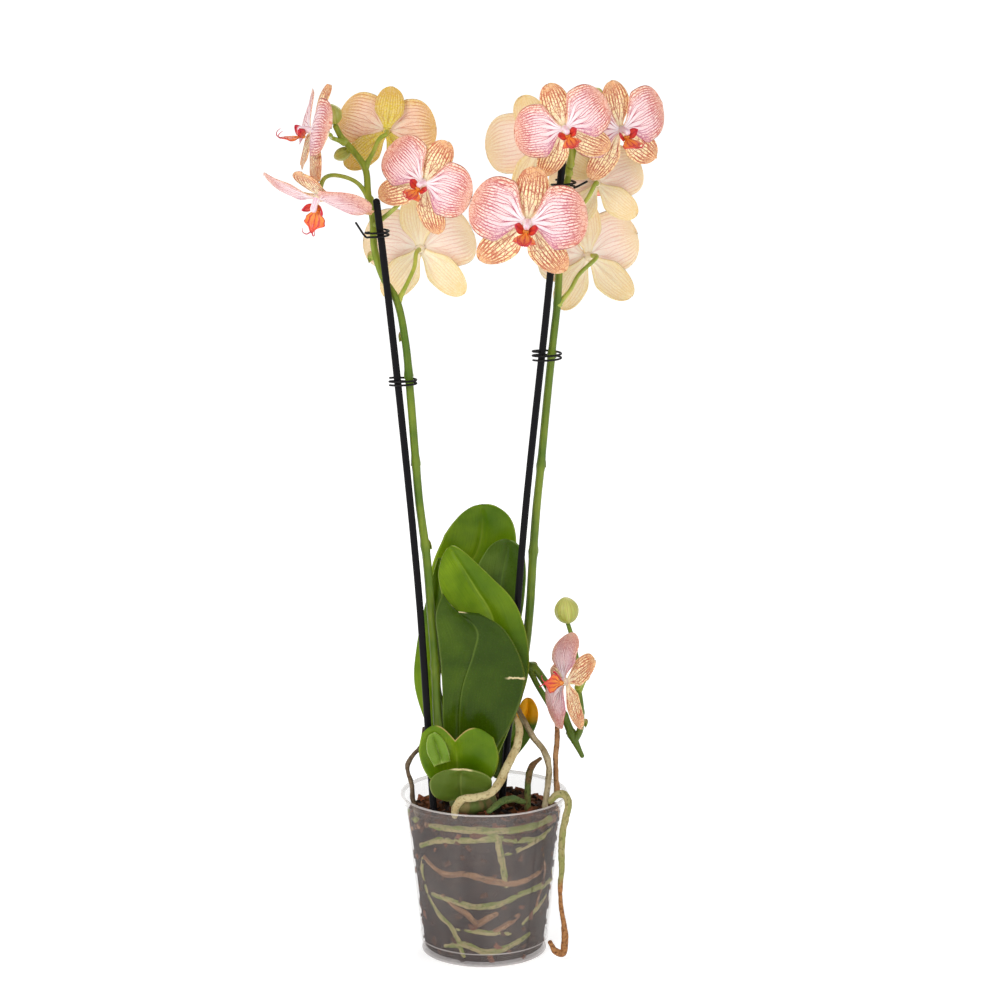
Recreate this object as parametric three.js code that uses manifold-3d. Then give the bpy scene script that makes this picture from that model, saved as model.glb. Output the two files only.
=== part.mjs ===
// Potted moth orchid in a clear plastic pot.
// Millimetres, +Z up, front of the plant towards -Y, origin at the centre of
// the pot's base on the floor. One named mesh per leaf, flower, stem or root.
import * as THREE from 'three';
import { mergeVertices } from 'three/addons/utils/BufferGeometryUtils.js';
import Module from 'manifold-3d';

const wasm = await Module();
wasm.setup();

// ---------------------------------------------------------------- dimensions
const POT_HEIGHT = 116;        // floor to the top of the rim
const RIM_RADIUS = 60;         // outside of the rolled rim (12 cm pot)
const SHOULDER_RADIUS = 57;    // wall just below the rim
const BASE_RADIUS = 44.7;      // outside of the wall at the floor
const WALL = 1.0;              // plastic wall
const RIM_HEIGHT = 4.5;
const FLOOR_THICKNESS = 1.4;
const DRAIN_NOTCHES = 8;       // arches round the foot
const DRAIN_WIDTH = 8.5;
const DRAIN_HEIGHT = 6;
const BARK_TOP = 106;          // bark level at the wall
const BARK_DOME = 6;           // rise towards the crown
const GAP = 0.35;              // clearance between neighbouring bodies
const CANE_RADIUS = 2.5;
const WIRE_RADIUS = 0.75;
const LEAF_THICKNESS = 1.7;
const TEPAL_THICKNESS = 0.9;
const PETAL_LENGTH = 41;
const PETAL_WIDTH = 45;
const SEPAL_LENGTH = 44;
const SEPAL_WIDTH = 24;
const COLUMN_LENGTH = 9;
const COLUMN_RADIUS = 2.3;
const HUB_RADIUS = 4.4;

// ---------------------------------------------------------------- colours
const COLOUR = {
  pot: 0xb9b2a8, bark: 0x5a3420, crown: 0x6f7f3a, cane: 0x1d1a20, wire: 0x141216,
  leaf: 0x4f7d12, leafFront: 0x5a7420, leafDark: 0x3c6408, leafYellow: 0xd18f08,
  spike: 0x6c8f28, bud: 0xa9b23c, budPale: 0xd2c08a, root: 0xb7a47c, rootOlive: 0x8d9052,
  rootBrown: 0xa56a3c, petal: 0xf0b6ae, petalBack: 0xecd9a2, petalGold: 0xdcc060,
  lip: 0xd0302c,
};

// ---------------------------------------------------------------- small kit
const V = (x, y, z) => new THREE.Vector3(x, y, z);
const points = (list) => list.map((p) => V(p[0], p[1], p[2]));
const smooth = (a, b, x) => {
  const t = Math.min(1, Math.max(0, (x - a) / (b - a)));
  return t * t * (3 - 2 * t);
};

// value of an evenly spaced list at t in 0..1
function along(list, t) {
  const s = Math.min(list.length - 1, Math.max(0, t * (list.length - 1)));
  const i = Math.min(list.length - 2, Math.floor(s));
  const f = smooth(0, 1, s - i) * 0.5 + (s - i) * 0.5;
  return list[i] + (list[i + 1] - list[i]) * f;
}

function indexed(vertices, triangles) {
  const g = new THREE.BufferGeometry();
  const flat = new Float32Array(vertices.length * 3);
  vertices.forEach((p, i) => {
    flat[i * 3] = p.x;
    flat[i * 3 + 1] = p.y;
    flat[i * 3 + 2] = p.z;
  });
  g.setAttribute('position', new THREE.BufferAttribute(flat, 3));
  g.setIndex(triangles);
  return g;
}

// a closed sheet with thickness, from a surface P(u, v), u and v in 0..1 and -1..1
function sheet(surface, rows, columns, thickness) {
  const front = [];
  const back = [];
  const w = columns + 1;
  const step = 0.02;
  for (let i = 0; i <= rows; i++) {
    for (let j = 0; j <= columns; j++) {
      const u = Math.sin((i / rows) * Math.PI * 0.5) * 0.35 + (i / rows) * 0.65;
      const v = -1 + (2 * j) / columns;
      const p = surface(u, v);
      const du = surface(Math.min(1, u + step), v).sub(surface(Math.max(0, u - step), v));
      const dv = surface(u, Math.min(1, v + step)).sub(surface(u, Math.max(-1, v - step)));
      const n = dv.cross(du).normalize();
      const edge = j === 0 || j === columns || i === rows;
      const half = thickness * (edge ? 0.3 : 0.5);
      front.push(p.clone().addScaledVector(n, half));
      back.push(p.clone().addScaledVector(n, -half));
    }
  }
  const k = front.length;
  const t = [];
  const quad = (a, b, c, d) => t.push(a, b, c, a, c, d);
  for (let i = 0; i < rows; i++) {
    for (let j = 0; j < columns; j++) {
      const a = i * w + j;
      quad(a, a + 1, a + w + 1, a + w);
      quad(k + a, k + a + w, k + a + w + 1, k + a + 1);
    }
  }
  for (let j = 0; j < columns; j++) {
    const top = rows * w + j;
    quad(j + 1, j, k + j, k + j + 1);
    quad(top, top + 1, k + top + 1, k + top);
  }
  for (let i = 0; i < rows; i++) {
    const a = i * w;
    const b = a + columns;
    quad(a, a + w, k + a + w, k + a);
    quad(b + w, b, k + b, k + b + w);
  }
  return indexed(front.concat(back), t);
}

// a closed round bar along a smooth path, with its own radius at each point
function bar(path, radii, sides, steps, grow = 0) {
  const curve = new THREE.CatmullRomCurve3(path, false, 'centripetal');
  const vertices = [];
  const t = [];
  const side = V(0, 0, 0);
  for (let i = 0; i <= steps; i++) {
    const s = i / steps;
    const p = curve.getPoint(s);
    const d = curve.getTangent(s);
    if (i === 0) side.set(Math.abs(d.x) < 0.8 ? 1 : 0, Math.abs(d.x) < 0.8 ? 0 : 1, 0);
    side.addScaledVector(d, -side.dot(d)).normalize();
    const other = d.clone().cross(side);
    const r = along(radii, s) + grow;
    for (let j = 0; j < sides; j++) {
      const a = (j / sides) * Math.PI * 2;
      const q = p.clone().addScaledVector(side, r * Math.cos(a));
      vertices.push(q.addScaledVector(other, r * Math.sin(a)));
    }
    if (i === 0) vertices.start = p.clone().addScaledVector(d, -0.5 * r);
    if (i === steps) vertices.end = p.clone().addScaledVector(d, 0.5 * r);
  }
  for (let i = 0; i < steps; i++) {
    for (let j = 0; j < sides; j++) {
      const a = i * sides + j;
      const b = i * sides + ((j + 1) % sides);
      t.push(a, b, b + sides, a, b + sides, a + sides);
    }
  }
  const first = vertices.length;
  const last = first + 1;
  vertices.push(vertices.start, vertices.end);
  for (let j = 0; j < sides; j++) {
    const next = (j + 1) % sides;
    t.push(first, next, j);
    t.push(last, steps * sides + j, steps * sides + next);
  }
  return indexed(vertices, t);
}

// a faceted ball, stretched along three directions and pointed along the third
function ball(centre, radii, axis = V(0, 0, 1), detail = 1, point = 0) {
  let g = new THREE.IcosahedronGeometry(1, detail);
  g.deleteAttribute('normal');
  g.deleteAttribute('uv');
  g = mergeVertices(g, 1e-4);
  const p = g.attributes.position;
  for (let i = 0; i < p.count; i++) {
    const z = p.getZ(i);
    const slim = 1 - point * Math.max(0, z) * Math.max(0, z);
    p.setXYZ(i, p.getX(i) * radii[0] * slim, p.getY(i) * radii[1] * slim, z * radii[2]);
  }
  const turn = new THREE.Quaternion().setFromUnitVectors(V(0, 0, 1), axis.clone().normalize());
  g.applyQuaternion(turn);
  g.translate(centre.x, centre.y, centre.z);
  return g;
}

function solid(geometry) {
  let g = geometry.clone();
  if (g.attributes.normal) g.deleteAttribute('normal');
  if (g.attributes.uv) g.deleteAttribute('uv');
  g = mergeVertices(g, 1e-4);
  return new wasm.Manifold(new wasm.Mesh({
    numProp: 3,
    vertProperties: Float32Array.from(g.attributes.position.array),
    triVerts: Uint32Array.from(g.index.array),
  }));
}

function geometryOf(body) {
  const m = body.getMesh();
  const g = new THREE.BufferGeometry();
  g.setAttribute('position', new THREE.BufferAttribute(Float32Array.from(m.vertProperties), 3));
  g.setIndex(Array.from(m.triVerts));
  return g;
}

function joined(list, tolerance = 0.15) {
  let body = solid(list[0]);
  for (const g of list.slice(1)) body = body.add(solid(g));
  return geometryOf(body.simplify(tolerance));
}

function cut(geometry, tools, tolerance = 0.03) {
  let body = solid(geometry);
  for (const g of tools) body = body.subtract(solid(g));
  const pieces = body.simplify(tolerance).decompose();
  pieces.sort((a, b) => b.volume() - a.volume());
  return geometryOf(pieces[0]);
}

// ---------------------------------------------------------------- the group
const plant = new THREE.Group();
plant.name = 'potted_orchid';

function add(name, geometry, colour, extra = {}) {
  const g = geometry;
  g.computeVertexNormals();
  const finish = { color: colour, roughness: 0.5, metalness: 0, ...extra };
  const mesh = new THREE.Mesh(g, new THREE.MeshStandardMaterial(finish));
  mesh.name = name;
  plant.add(mesh);
  return mesh;
}

// ---------------------------------------------------------------- pot
function turned(profile, segments) {
  const g = new THREE.LatheGeometry(profile.map((p) => new THREE.Vector2(p[0], p[1])), segments);
  g.rotateX(Math.PI / 2);
  return g;
}

const wallRadius = (z) => BASE_RADIUS + ((SHOULDER_RADIUS - BASE_RADIUS) * z) / (POT_HEIGHT - 6);
const innerRadius = (z) => wallRadius(z) - WALL;

function pot() {
  const h = POT_HEIGHT;
  const rimLow = h - RIM_HEIGHT;
  const profile = [
    [0.0, 0],
    [BASE_RADIUS, 0],
    [wallRadius(10) + 0.5, 10],
    [wallRadius(11.5), 11.5],
    [wallRadius(rimLow - 2), rimLow - 2],
    [SHOULDER_RADIUS + 1.6, rimLow],
    [RIM_RADIUS, rimLow + 0.6],
    [RIM_RADIUS, h - 0.7],
    [RIM_RADIUS - 0.7, h],
    [RIM_RADIUS - 2.0, h],
    [innerRadius(rimLow) + 0.6, h - 1.4],
    [innerRadius(rimLow - 2), rimLow - 2],
    [innerRadius(FLOOR_THICKNESS), FLOOR_THICKNESS],
    [0.0, FLOOR_THICKNESS],
  ];
  // the half-section is turned round the axis; its ends meet on the axis
  const body = turned(profile, 32);
  const tools = [];
  for (let i = 0; i < DRAIN_NOTCHES; i++) {
    const a = ((i + 0.5) / DRAIN_NOTCHES) * Math.PI * 2 - 0.095;
    const arch = new THREE.CylinderGeometry(DRAIN_WIDTH / 2, DRAIN_WIDTH / 2, 9, 8);
    arch.rotateZ(Math.PI / 2);
    arch.scale(1, 1, (2 * DRAIN_HEIGHT) / DRAIN_WIDTH);
    arch.translate(BASE_RADIUS - 0.5, 0, 0);
    arch.rotateZ(a);
    tools.push(arch);
  }
  return cut(body, tools);
}

add('pot', pot(), COLOUR.pot, { transparent: true, opacity: 0.45, roughness: 0.2 });

// ---------------------------------------------------------------- canes
const CANES = {
  cane_left: [[-29, -23, 34], [-36, -22, 116], [-45, -19, 260], [-58, -15, 401], [-66, -13, 477],
    [-73, -13, 538]],
  cane_right: [[5, 0, 34], [14, -1, 124], [19, -2, 182], [24, 0, 255], [30, 1, 328], [43, -2, 455],
    [46, -3, 486], [55, -3, 571]],
};
function cane(path, grow = 0) {
  return bar(points(path), [CANE_RADIUS, CANE_RADIUS], 8, path.length + 2, grow);
}

for (const [name, path] of Object.entries(CANES)) {
  add(name, cane(path), COLOUR.cane, { roughness: 0.35 });
}

// ---------------------------------------------------------------- flowers
// hub position, azimuth (0 faces the front, + to the right), elevation, roll, size
const FLOWERS = {
  l1: { at: [-116, -25, 587], turn: [-73, 12, 8], size: 0.88, colour: 'petal' },
  l2: { at: [-67, 20, 584], turn: [180, 8, -8], size: 0.85, colour: 'petalGold' },
  l3: { at: [-40.5, -23, 552], turn: [-20, -6, 31], size: 0.85, colour: 'petal' },
  l4: { at: [-44, 28, 502], turn: [168, 10, 4], size: 1.0, colour: 'petalBack' },
  l5: { at: [-112, -33, 543], turn: [-47, -64, 28], size: 0.97, colour: 'petal' },
  r1: { at: [55, -30, 589], turn: [10, -12, -22], size: 0.84, colour: 'petal' },
  r2: { at: [94.5, 3, 586], turn: [28, -8, -14], size: 0.9, colour: 'petal' },
  r3: { at: [30, -35, 526], turn: [-4, -10, 8], size: 1.0, colour: 'petal' },
  r4: { at: [40, 28, 575], turn: [172, 5, 20], size: 0.95, colour: 'petalBack' },
  r5: { at: [79, 27, 547], turn: [172, -5, 10], size: 0.82, colour: 'petalBack' },
  r6: { at: [73, 42, 495], turn: [206, -3, 5], size: 1.0, colour: 'petalBack' },
  s1: { at: [57, -24, 203], turn: [-66, 10, -86], size: 0.85, colour: 'petal' },
};

function facing(turn) {
  const [a, e, g] = turn.map((d) => (d * Math.PI) / 180);
  const f = V(Math.sin(a) * Math.cos(e), -Math.cos(a) * Math.cos(e), Math.sin(e));
  const r0 = V(Math.cos(a), Math.sin(a), 0);
  const u0 = V(-Math.sin(a) * Math.sin(e), Math.cos(a) * Math.sin(e), Math.cos(e));
  const r = r0.clone().multiplyScalar(Math.cos(g)).addScaledVector(u0, -Math.sin(g));
  const u = r0.clone().multiplyScalar(Math.sin(g)).addScaledVector(u0, Math.cos(g));
  return { r, u, f };
}

function placeFlower(geometry, flower) {
  const { r, u, f } = facing(flower.turn);
  const m = new THREE.Matrix4().makeBasis(r, u, f);
  m.scale(V(flower.size, flower.size, flower.size));
  m.setPosition(...flower.at);
  return geometry.clone().applyMatrix4(m);
}

// one tepal lying along `angle` (degrees clockwise from the top), facing +z
function tepal(shape) {
  const a = (shape.angle * Math.PI) / 180;
  const axis = V(Math.sin(a), Math.cos(a), 0);
  const across = V(Math.cos(a), -Math.sin(a), 0);
  const surface = (u, v) => {
    const swell = shape.claw + (1 - shape.claw) * smooth(0, shape.shoulder, u);
    const past = Math.max(0, (u - 0.5) / 0.5);
    const round = Math.sqrt(Math.max(0, 1 - Math.pow(past, shape.power)));
    const half = (shape.width / 2) * Math.max(0.045, swell * round);
    const drift = shape.lean * shape.length * Math.sin(Math.PI * Math.min(1, u * 0.95));
    const lift = shape.start + shape.bow * Math.sin(Math.PI * u) - shape.sweep * u * u;
    const cup = shape.cup * v * v * smooth(0.05, 0.5, u);
    const p = axis.clone().multiplyScalar(2.2 + u * (shape.length - 2.2));
    p.addScaledVector(across, v * half + drift);
    p.z = lift + cup;
    return p;
  };
  return sheet(surface, 4, shape.columns, TEPAL_THICKNESS);
}

const PETAL = { length: PETAL_LENGTH, width: PETAL_WIDTH, claw: 0.14, shoulder: 0.42, power: 2.6,
  start: 1.1, bow: 2.2, sweep: 4.5, cup: -0.5, columns: 4 };
const SEPAL = { length: SEPAL_LENGTH, width: SEPAL_WIDTH, claw: 0.27, shoulder: 0.45, power: 2.2,
  start: -1.7, bow: 0.4, sweep: 3.6, cup: -0.8, columns: 2 };

const COLUMN_PATH = [[0, 0, -3.6], [0, 0, -0.6], [0, 0.4, 2.4], [0, 0.7, 5.2], [0, -0.2, COLUMN_LENGTH]];
const COLUMN_RADII = [HUB_RADIUS * 0.7, HUB_RADIUS, COLUMN_RADIUS * 1.2, COLUMN_RADIUS * 0.95,
  COLUMN_RADIUS];

const perianth = joined([
  bar(points(COLUMN_PATH), COLUMN_RADII, 6, 4),
  tepal({ ...SEPAL, angle: 0, length: 38, lean: 0 }),
  tepal({ ...SEPAL, angle: 138, lean: 0.02 }),
  tepal({ ...SEPAL, angle: -138, lean: -0.02 }),
  tepal({ ...PETAL, angle: 77, lean: -0.05 }),
  tepal({ ...PETAL, angle: -77, lean: 0.05 }),
]);

function lipLobe(side) {
  const surface = (u, v) => {
    const half = 3.6 * Math.max(0.2, Math.sin(Math.PI * (0.18 + 0.78 * u)));
    const bend = side * (1.6 + 7.0 * Math.sin(u * 1.5) - 1.2 * v * v * u);
    return V(bend, -4.6 + 3.4 * u + v * half * 0.75, 5.4 + 6.4 * u - v * half * 0.35);
  };
  return side > 0 ? sheet((u, v) => surface(u, -v), 2, 2, 0.9) : sheet(surface, 2, 2, 0.9);
}

function lipTongue() {
  const surface = (u, v) => {
    const half = 1.8 + 5.2 * smooth(0.12, 0.6, u) - 6.0 * smooth(0.62, 1, u);
    return V(v * half, -5.6 - 4.4 * u - 1.0 * v * v, 6.5 + 17.5 * u - 0.8 * v * v);
  };
  return sheet(surface, 4, 2, 1.1);
}

// one of the two thin curled ends of the tongue
function whisker(side) {
  const path = [[0.5, -9.8, 23.2], [2.6, -9.0, 25.6], [4.6, -6.2, 25.4], [4.8, -3.6, 23.4]];
  return bar(path.map(([x, y, z]) => V(side * x, y, z)), [0.55, 0.5, 0.4, 0.3], 3, 3);
}

const lip = joined([
  ball(V(0, -5.0, 6.0), [2.6, 2.0, 2.7], V(0, 0, 1), 0),
  lipTongue(),
  lipLobe(1),
  lipLobe(-1),
  whisker(1),
  whisker(-1),
]);

for (const [key, flower] of Object.entries(FLOWERS)) {
  add(`flower_${key}`, placeFlower(perianth, flower), COLOUR[flower.colour]);
  add(`lip_${key}`, placeFlower(lip, flower), COLOUR.lip, { roughness: 0.4 });
}

// the point just behind a flower's hub where its stalk stops
function behind(key, distance) {
  const { f } = facing(FLOWERS[key].turn);
  return V(...FLOWERS[key].at).addScaledVector(f, -distance * FLOWERS[key].size);
}

function stalk(key, start, middle = []) {
  const path = [start, ...middle].map((p) => V(p[0], p[1], p[2]));
  path.push(behind(key, 14), behind(key, 4.8 + 1.9));
  return bar(path, [2.1, 1.5, 1.5, 1.5, 1.9], 5, 1 + path.length);
}

// ---------------------------------------------------------------- flower spikes
function nodeRing(at, axis, radius, height = 2.6) {
  return ball(V(...at), [radius, radius, height], V(...axis), 0);
}

function bract(at, axis, size) {
  return ball(V(...at), [size * 0.42, size * 0.3, size * 0.75], V(...axis), 0, 0.5);
}

const SPIKE_LEFT = [[-22, -21, 128], [-29.5, -21.5, 150], [-32.5, -18, 175], [-34, -15, 212],
  [-37, -13, 252], [-40, -12, 290], [-45, -12, 330], [-47.5, -13, 362], [-50.5, -13, 403],
  [-54, -11, 442], [-60, -8, 470], [-69, -6, 485], [-75, -6, 505], [-76, -6, 526], [-79, -5, 542],
  [-81, -4, 560], [-90, -3, 573], [-97, -3, 581], [-101, -3, 586.5]];
add('spike_left', joined([
  bar(points(SPIKE_LEFT), [3.4, 3.3, 3.2, 3.0, 2.9, 2.8, 2.6, 2.5, 2.4, 2.3, 2.2, 2.0], 6, 22),
  nodeRing([-34, -15, 212], [0, 0, 1], 3.9),
  nodeRing([-40, -12, 297], [-1, 0, 8], 3.6),
  nodeRing([-47.3, -13, 357], [-0.5, 0, 8], 3.4),
  nodeRing([-52, -12.5, 419], [-1, 0, 6], 3.3),
  bract([-55.5, -12, 444], [-1, -0.6, 3], 9),
  bract([-76.5, -8, 498], [-1, -1, 2.5], 9),
  stalk('l4', [-59, -7, 469], [[-53, 0, 480], [-48, 8, 491]]),
  stalk('l3', [-74.5, -6, 522], [[-64, -4, 530], [-50, -4, 543]]),
  stalk('l5', [-78, -4, 539], [[-86, -6, 550], [-96, -10, 555]]),
  stalk('l2', [-81, -3, 561], [[-76, 0, 570], [-71, 6, 580]]),
  stalk('l1', [-95, -3, 578], [[-103, -8, 581]]),
]), COLOUR.spike);

const SPIKE_RIGHT = [[9, 10, 127], [14, 13, 145], [20, 15, 170], [28, 15.5, 207], [32, 13, 240],
  [35, 11, 290], [37, 10, 319], [40, 9, 350], [43, 8, 384], [46, 7, 416], [48.5, 6, 441],
  [51, 6, 464], [52, 6, 482], [53, 6, 510], [55, 6, 534], [58, 6, 551], [61, 7, 567], [65, 8, 583],
  [69, 9, 596]];
add('spike_right', joined([
  bar(points(SPIKE_RIGHT), [3.3, 3.2, 3.1, 3.0, 2.9, 2.8, 2.7, 2.6, 2.4, 2.2, 2.0, 1.8], 6, 22),
  nodeRing([35, 11, 290], [0.5, 0, 8], 3.6),
  nodeRing([40.3, 9, 352], [0.6, 0, 8], 3.5),
  nodeRing([47.5, 6.3, 430], [0.6, 0, 8], 3.3),
  nodeRing([51.5, 6, 466], [0.4, 0, 8], 3.1),
  bract([52, 8.5, 500], [0.5, 0.6, 3], 8),
  stalk('r6', [51.5, 6, 465], [[60, 12, 474], [66, 18, 484]]),
  stalk('r3', [52.5, 6, 506], [[45, 8, 512], [37, 1, 519]]),
  stalk('r5', [55, 6, 533], [[63, 12, 530], [71, 17, 536]]),
  stalk('r1', [60, 6, 562], [[60, 2, 578]]),
  stalk('r4', [59, 6, 556], [[52, 8, 566], [45, 12, 572]]),
  stalk('r2', [65, 8, 582], [[74, 6, 586]]),
]), COLOUR.spike);

const SIDE_MAIN = [[9, 3, 128], [15, 5, 150], [21, 6, 178], [27, 7, 199], [33.5, 8, 206],
  [42, 11, 196], [49, 11, 184], [56, 8, 172], [63, 5, 156], [70, 3, 141.5]];
const SIDE_UP = [[64.5, 4.5, 152], [68.5, 3, 161], [69, 2, 176], [67, 3, 192], [66, 4, 210],
  [63, 4, 226], [60, 4, 236]];
add('spike_side', joined([
  bar(points(SIDE_MAIN), [3.0, 3.0, 2.9, 2.9, 2.8, 2.8, 2.7, 2.8, 2.9, 2.6], 6, 14),
  bar(points(SIDE_UP), [2.5, 2.4, 2.3, 2.0, 1.7, 1.6], 5, 9),
  bar(points([[33, 7, 203], [38, 5, 193], [45, 2, 182], [51, -1, 172]]), [2.2, 2.0, 2.1, 2.5], 5, 4),
  nodeRing([33.5, 8, 205.5], [1, 0, 0.2], 3.6),
  nodeRing([62.5, 5, 157], [1, 0, -2], 3.6),
  nodeRing([66.3, 4, 203], [0, 0, 1], 2.4, 2),
  bract([71, 2.5, 165], [1, -0.4, 1.6], 7),
  stalk('s1', [67, 3, 192], [[69, -5, 197]]),
]), COLOUR.spike);

// ---------------------------------------------------------------- buds
const BUDS = {
  bud_left_tip: { at: [-103, -4, 597], size: [6.6, 6.4, 7.2], axis: [-0.3, 0, 1], colour: 'bud' },
  bud_left_small: { at: [-97, 2, 569.5], size: [4.6, 4.4, 6.4], axis: [-1, 0.2, -0.5],
    colour: 'bud' },
  bud_right_top: { at: [76, 12, 607.5], size: [6.4, 6.2, 7.6], axis: [0.6, 0, 0.8], colour: 'bud' },
  bud_side_top: { at: [58.5, 4, 247.8], size: [8.7, 8.5, 9.6], axis: [-0.15, 0, 1], colour: 'bud' },
  bud_side_small: { at: [72.8, 0, 200.5], size: [2.6, 2.6, 4.0], axis: [0.4, -0.5, 0.8],
    colour: 'budPale' },
};
for (const [name, b] of Object.entries(BUDS)) {
  add(name, ball(V(...b.at), b.size, V(...b.axis), b.size[0] > 8 ? 2 : 1, 0.3), COLOUR[b.colour]);
}

// ---------------------------------------------------------------- leaves
// rib: points up the midrib; left, right: half widths; yaw: facing, degrees;
// fold: how far the margins stand forward of the rib; lobes: rise of the blade
// beside a cut tip; margins: two routes used instead of the half widths
const LEAVES = {
  leaf_back: {
    rib: [[-9, 9, 127], [-16, 26, 180], [-22, 34, 235], [-16, 37, 262], [-4, 38, 285], [-1, 38, 303],
      [-2, 37, 318]],
    left: [6, 11, 16, 23, 27, 20, 3], right: [6, 12, 24, 27, 28, 19, 3], yaw: 4, fold: 3,
    colour: 'leaf' },
  leaf_back_dark: {
    rib: [[-3, 3, 127], [0, 15, 160], [5, 23, 200], [10, 25, 240], [13, 26, 268], [16, 25, 285],
      [17, 24, 295]],
    left: [5, 8, 15, 20, 19, 12, 3], right: [5, 6, 13, 17, 18, 13, 3], yaw: -6, fold: 2,
    colour: 'leafDark' },
  leaf_mid: {
    rib: [[-5, -7, 128], [6, -8, 172], [11, -9, 210], [6, -9, 246], [-6, -8, 267], [-17, -7, 285],
      [-24, -6, 296]],
    left: [7, 14, 20, 24, 25, 15, 2], right: [7, 14, 21, 19, 14, 8, 2], yaw: 6, fold: 2,
    colour: 'leaf' },
  leaf_front: {
    rib: [[-15, -15, 128], [-17, -17, 159], [-15, -21, 196], [-7, -23, 222], [-4, -23, 238],
      [-10, -22, 246.5], [-20, -21, 253]],
    margins: [
      [[-20, -15, 128], [-28, -18, 162], [-29, -21, 190], [-30, -22, 212], [-32, -22, 232],
        [-33.5, -22, 251], [-28.6, -21, 266]],
      [[-8, -15, 128], [8, -20, 152], [23, -21, 179], [29, -22, 205], [23, -22, 226], [12, -22, 242.5],
        [-3, -21.5, 251.5]],
    ],
    yaw: 8, fold: 1, colour: 'leafFront' },
  leaf_left_low: {
    rib: [[-20, -6, 127], [-30, -5, 162], [-38, -4, 195], [-38, -2, 221], [-34, 0, 256],
      [-31, 3, 286]],
    left: [5, 9, 12, 11, 8, 2], right: [4, 8, 10, 12, 9, 2], yaw: -30, fold: 2, colour: 'leaf' },
  leaf_front_low: {
    rib: [[-17, -27, 123], [-18, -30, 136], [-19, -34, 150], [-20, -37, 164]],
    margins: [
      [[-26, -27, 123], [-40, -30, 138], [-45.5, -33.5, 155], [-43.5, -36, 169]],
      [[-9, -27, 123], [5, -30, 136], [10.5, -33.5, 150], [7, -36, 165.5]],
    ],
    yaw: 0, fold: 3, lobes: 9, colour: 'leaf' },
  leaf_front_lowest: {
    rib: [[-15, -33, 120], [-16, -39, 128], [-16, -43, 138], [-16, -46, 146]],
    left: [6, 17, 20, 11], right: [6, 17, 20, 11], yaw: 0, fold: 2, colour: 'leafDark' },
  leaf_right_yellow: {
    rib: [[8, 15, 124], [14, 18, 138], [24, 21, 153], [31, 21, 168], [31, 20, 179]],
    left: [3, 6, 8, 7, 1.5], right: [3, 6, 8, 7, 1.5], yaw: 6, fold: 1.5, colour: 'leafYellow' },
};

const flowing = (path) => new THREE.CatmullRomCurve3(points(path), false, 'centripetal');

function leaf(shape) {
  const curve = flowing(shape.rib);
  const margins = (shape.margins || []).map(flowing);
  const yaw = (shape.yaw * Math.PI) / 180;
  const look = V(Math.sin(yaw), -Math.cos(yaw), 0);
  const surface = (u, v) => {
    const p = curve.getPoint(u);
    const d = curve.getTangent(u);
    const across = d.clone().cross(look).normalize();
    const face = across.clone().cross(d).normalize();
    const rise = (shape.lobes || 0) * Math.sin(Math.PI * Math.abs(v)) * smooth(0.35, 1, u);
    if (shape.margins) {
      p.lerp(margins[v < 0 ? 0 : 1].getPoint(u), Math.abs(v));
    } else {
      p.addScaledVector(across, v * along(v < 0 ? shape.left : shape.right, u));
    }
    p.addScaledVector(face, shape.fold * v * v * Math.sin(Math.PI * Math.min(0.9, u + 0.1)));
    return p.addScaledVector(d, rise);
  };
  return sheet(surface, 8, 4, LEAF_THICKNESS);
}

for (const [name, shape] of Object.entries(LEAVES)) {
  add(name, leaf(shape), COLOUR[shape.colour], { roughness: 0.35 });
}

// ---------------------------------------------------------------- roots
const ROOTS = {
  root_front: {
    path: [[21, -16, 178], [25, -21, 169], [23, -29, 157], [17, -35, 146], [11, -42, 135],
      [5, -47, 129], [-5, -50, 126.5], [-15, -50.5, 125], [-19.5, -49.5, 119], [-20, -48, 113]],
    radii: [2.3, 2.8, 2.9, 2.9, 2.8, 2.8, 2.7, 2.6], colour: 'root' },
  root_inner: {
    path: [[24, -5, 178], [35, -11, 159], [43, -14, 149], [46, -17, 139], [45, -20, 126],
      [43, -23, 112]],
    radii: [1.9, 2.2, 2.3, 2.2, 2.1], colour: 'root' },
  root_side: {
    path: [[52, -2, 167], [52, -4, 156], [51, -8, 145], [51, -12, 133], [52, -15, 118]],
    radii: [1.5, 1.8, 1.9, 1.9, 2.2], colour: 'rootBrown' },
  root_hanging: {
    path: [[47, -27, 117], [52, -28, 122], [57, -29, 122], [59.5, -30, 116], [58, -31, 107],
      [55.5, -30, 94], [55, -29, 77], [55, -29, 66], [54, -28, 50], [55, -28, 37], [57, -29, 25],
      [57.5, -30, 13], [56, -31, 6], [51, -33, 8], [47, -34, 15]],
    radii: [2.5, 2.6, 2.6, 2.5, 2.4, 2.4, 2.2, 1.5, 1.7, 2.4, 2.6, 2.6, 1.6], colour: 'rootOlive' },
  root_stub: {
    path: [[40, -6, 142], [35, -8, 138], [32, -10, 131], [31, -13, 119], [31, -15, 108]],
    radii: [1.8, 2.4, 2.5, 2.4, 2.3], colour: 'rootOlive' },
  root_left: {
    path: [[-42, -13, 166], [-44, -15, 154], [-50, -18, 148], [-54, -20, 140], [-51, -21, 128],
      [-50, -22, 116], [-47, -23, 106]],
    radii: [1.4, 1.8, 1.9, 2.0, 2.1, 2.2], colour: 'rootBrown' },
  root_flat: {
    path: [[4, -38, 113], [12, -30, 117], [20, -22, 117], [28, -15, 113]],
    radii: [2.0, 2.6, 2.6, 2.0], colour: 'rootOlive' },
};

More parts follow.
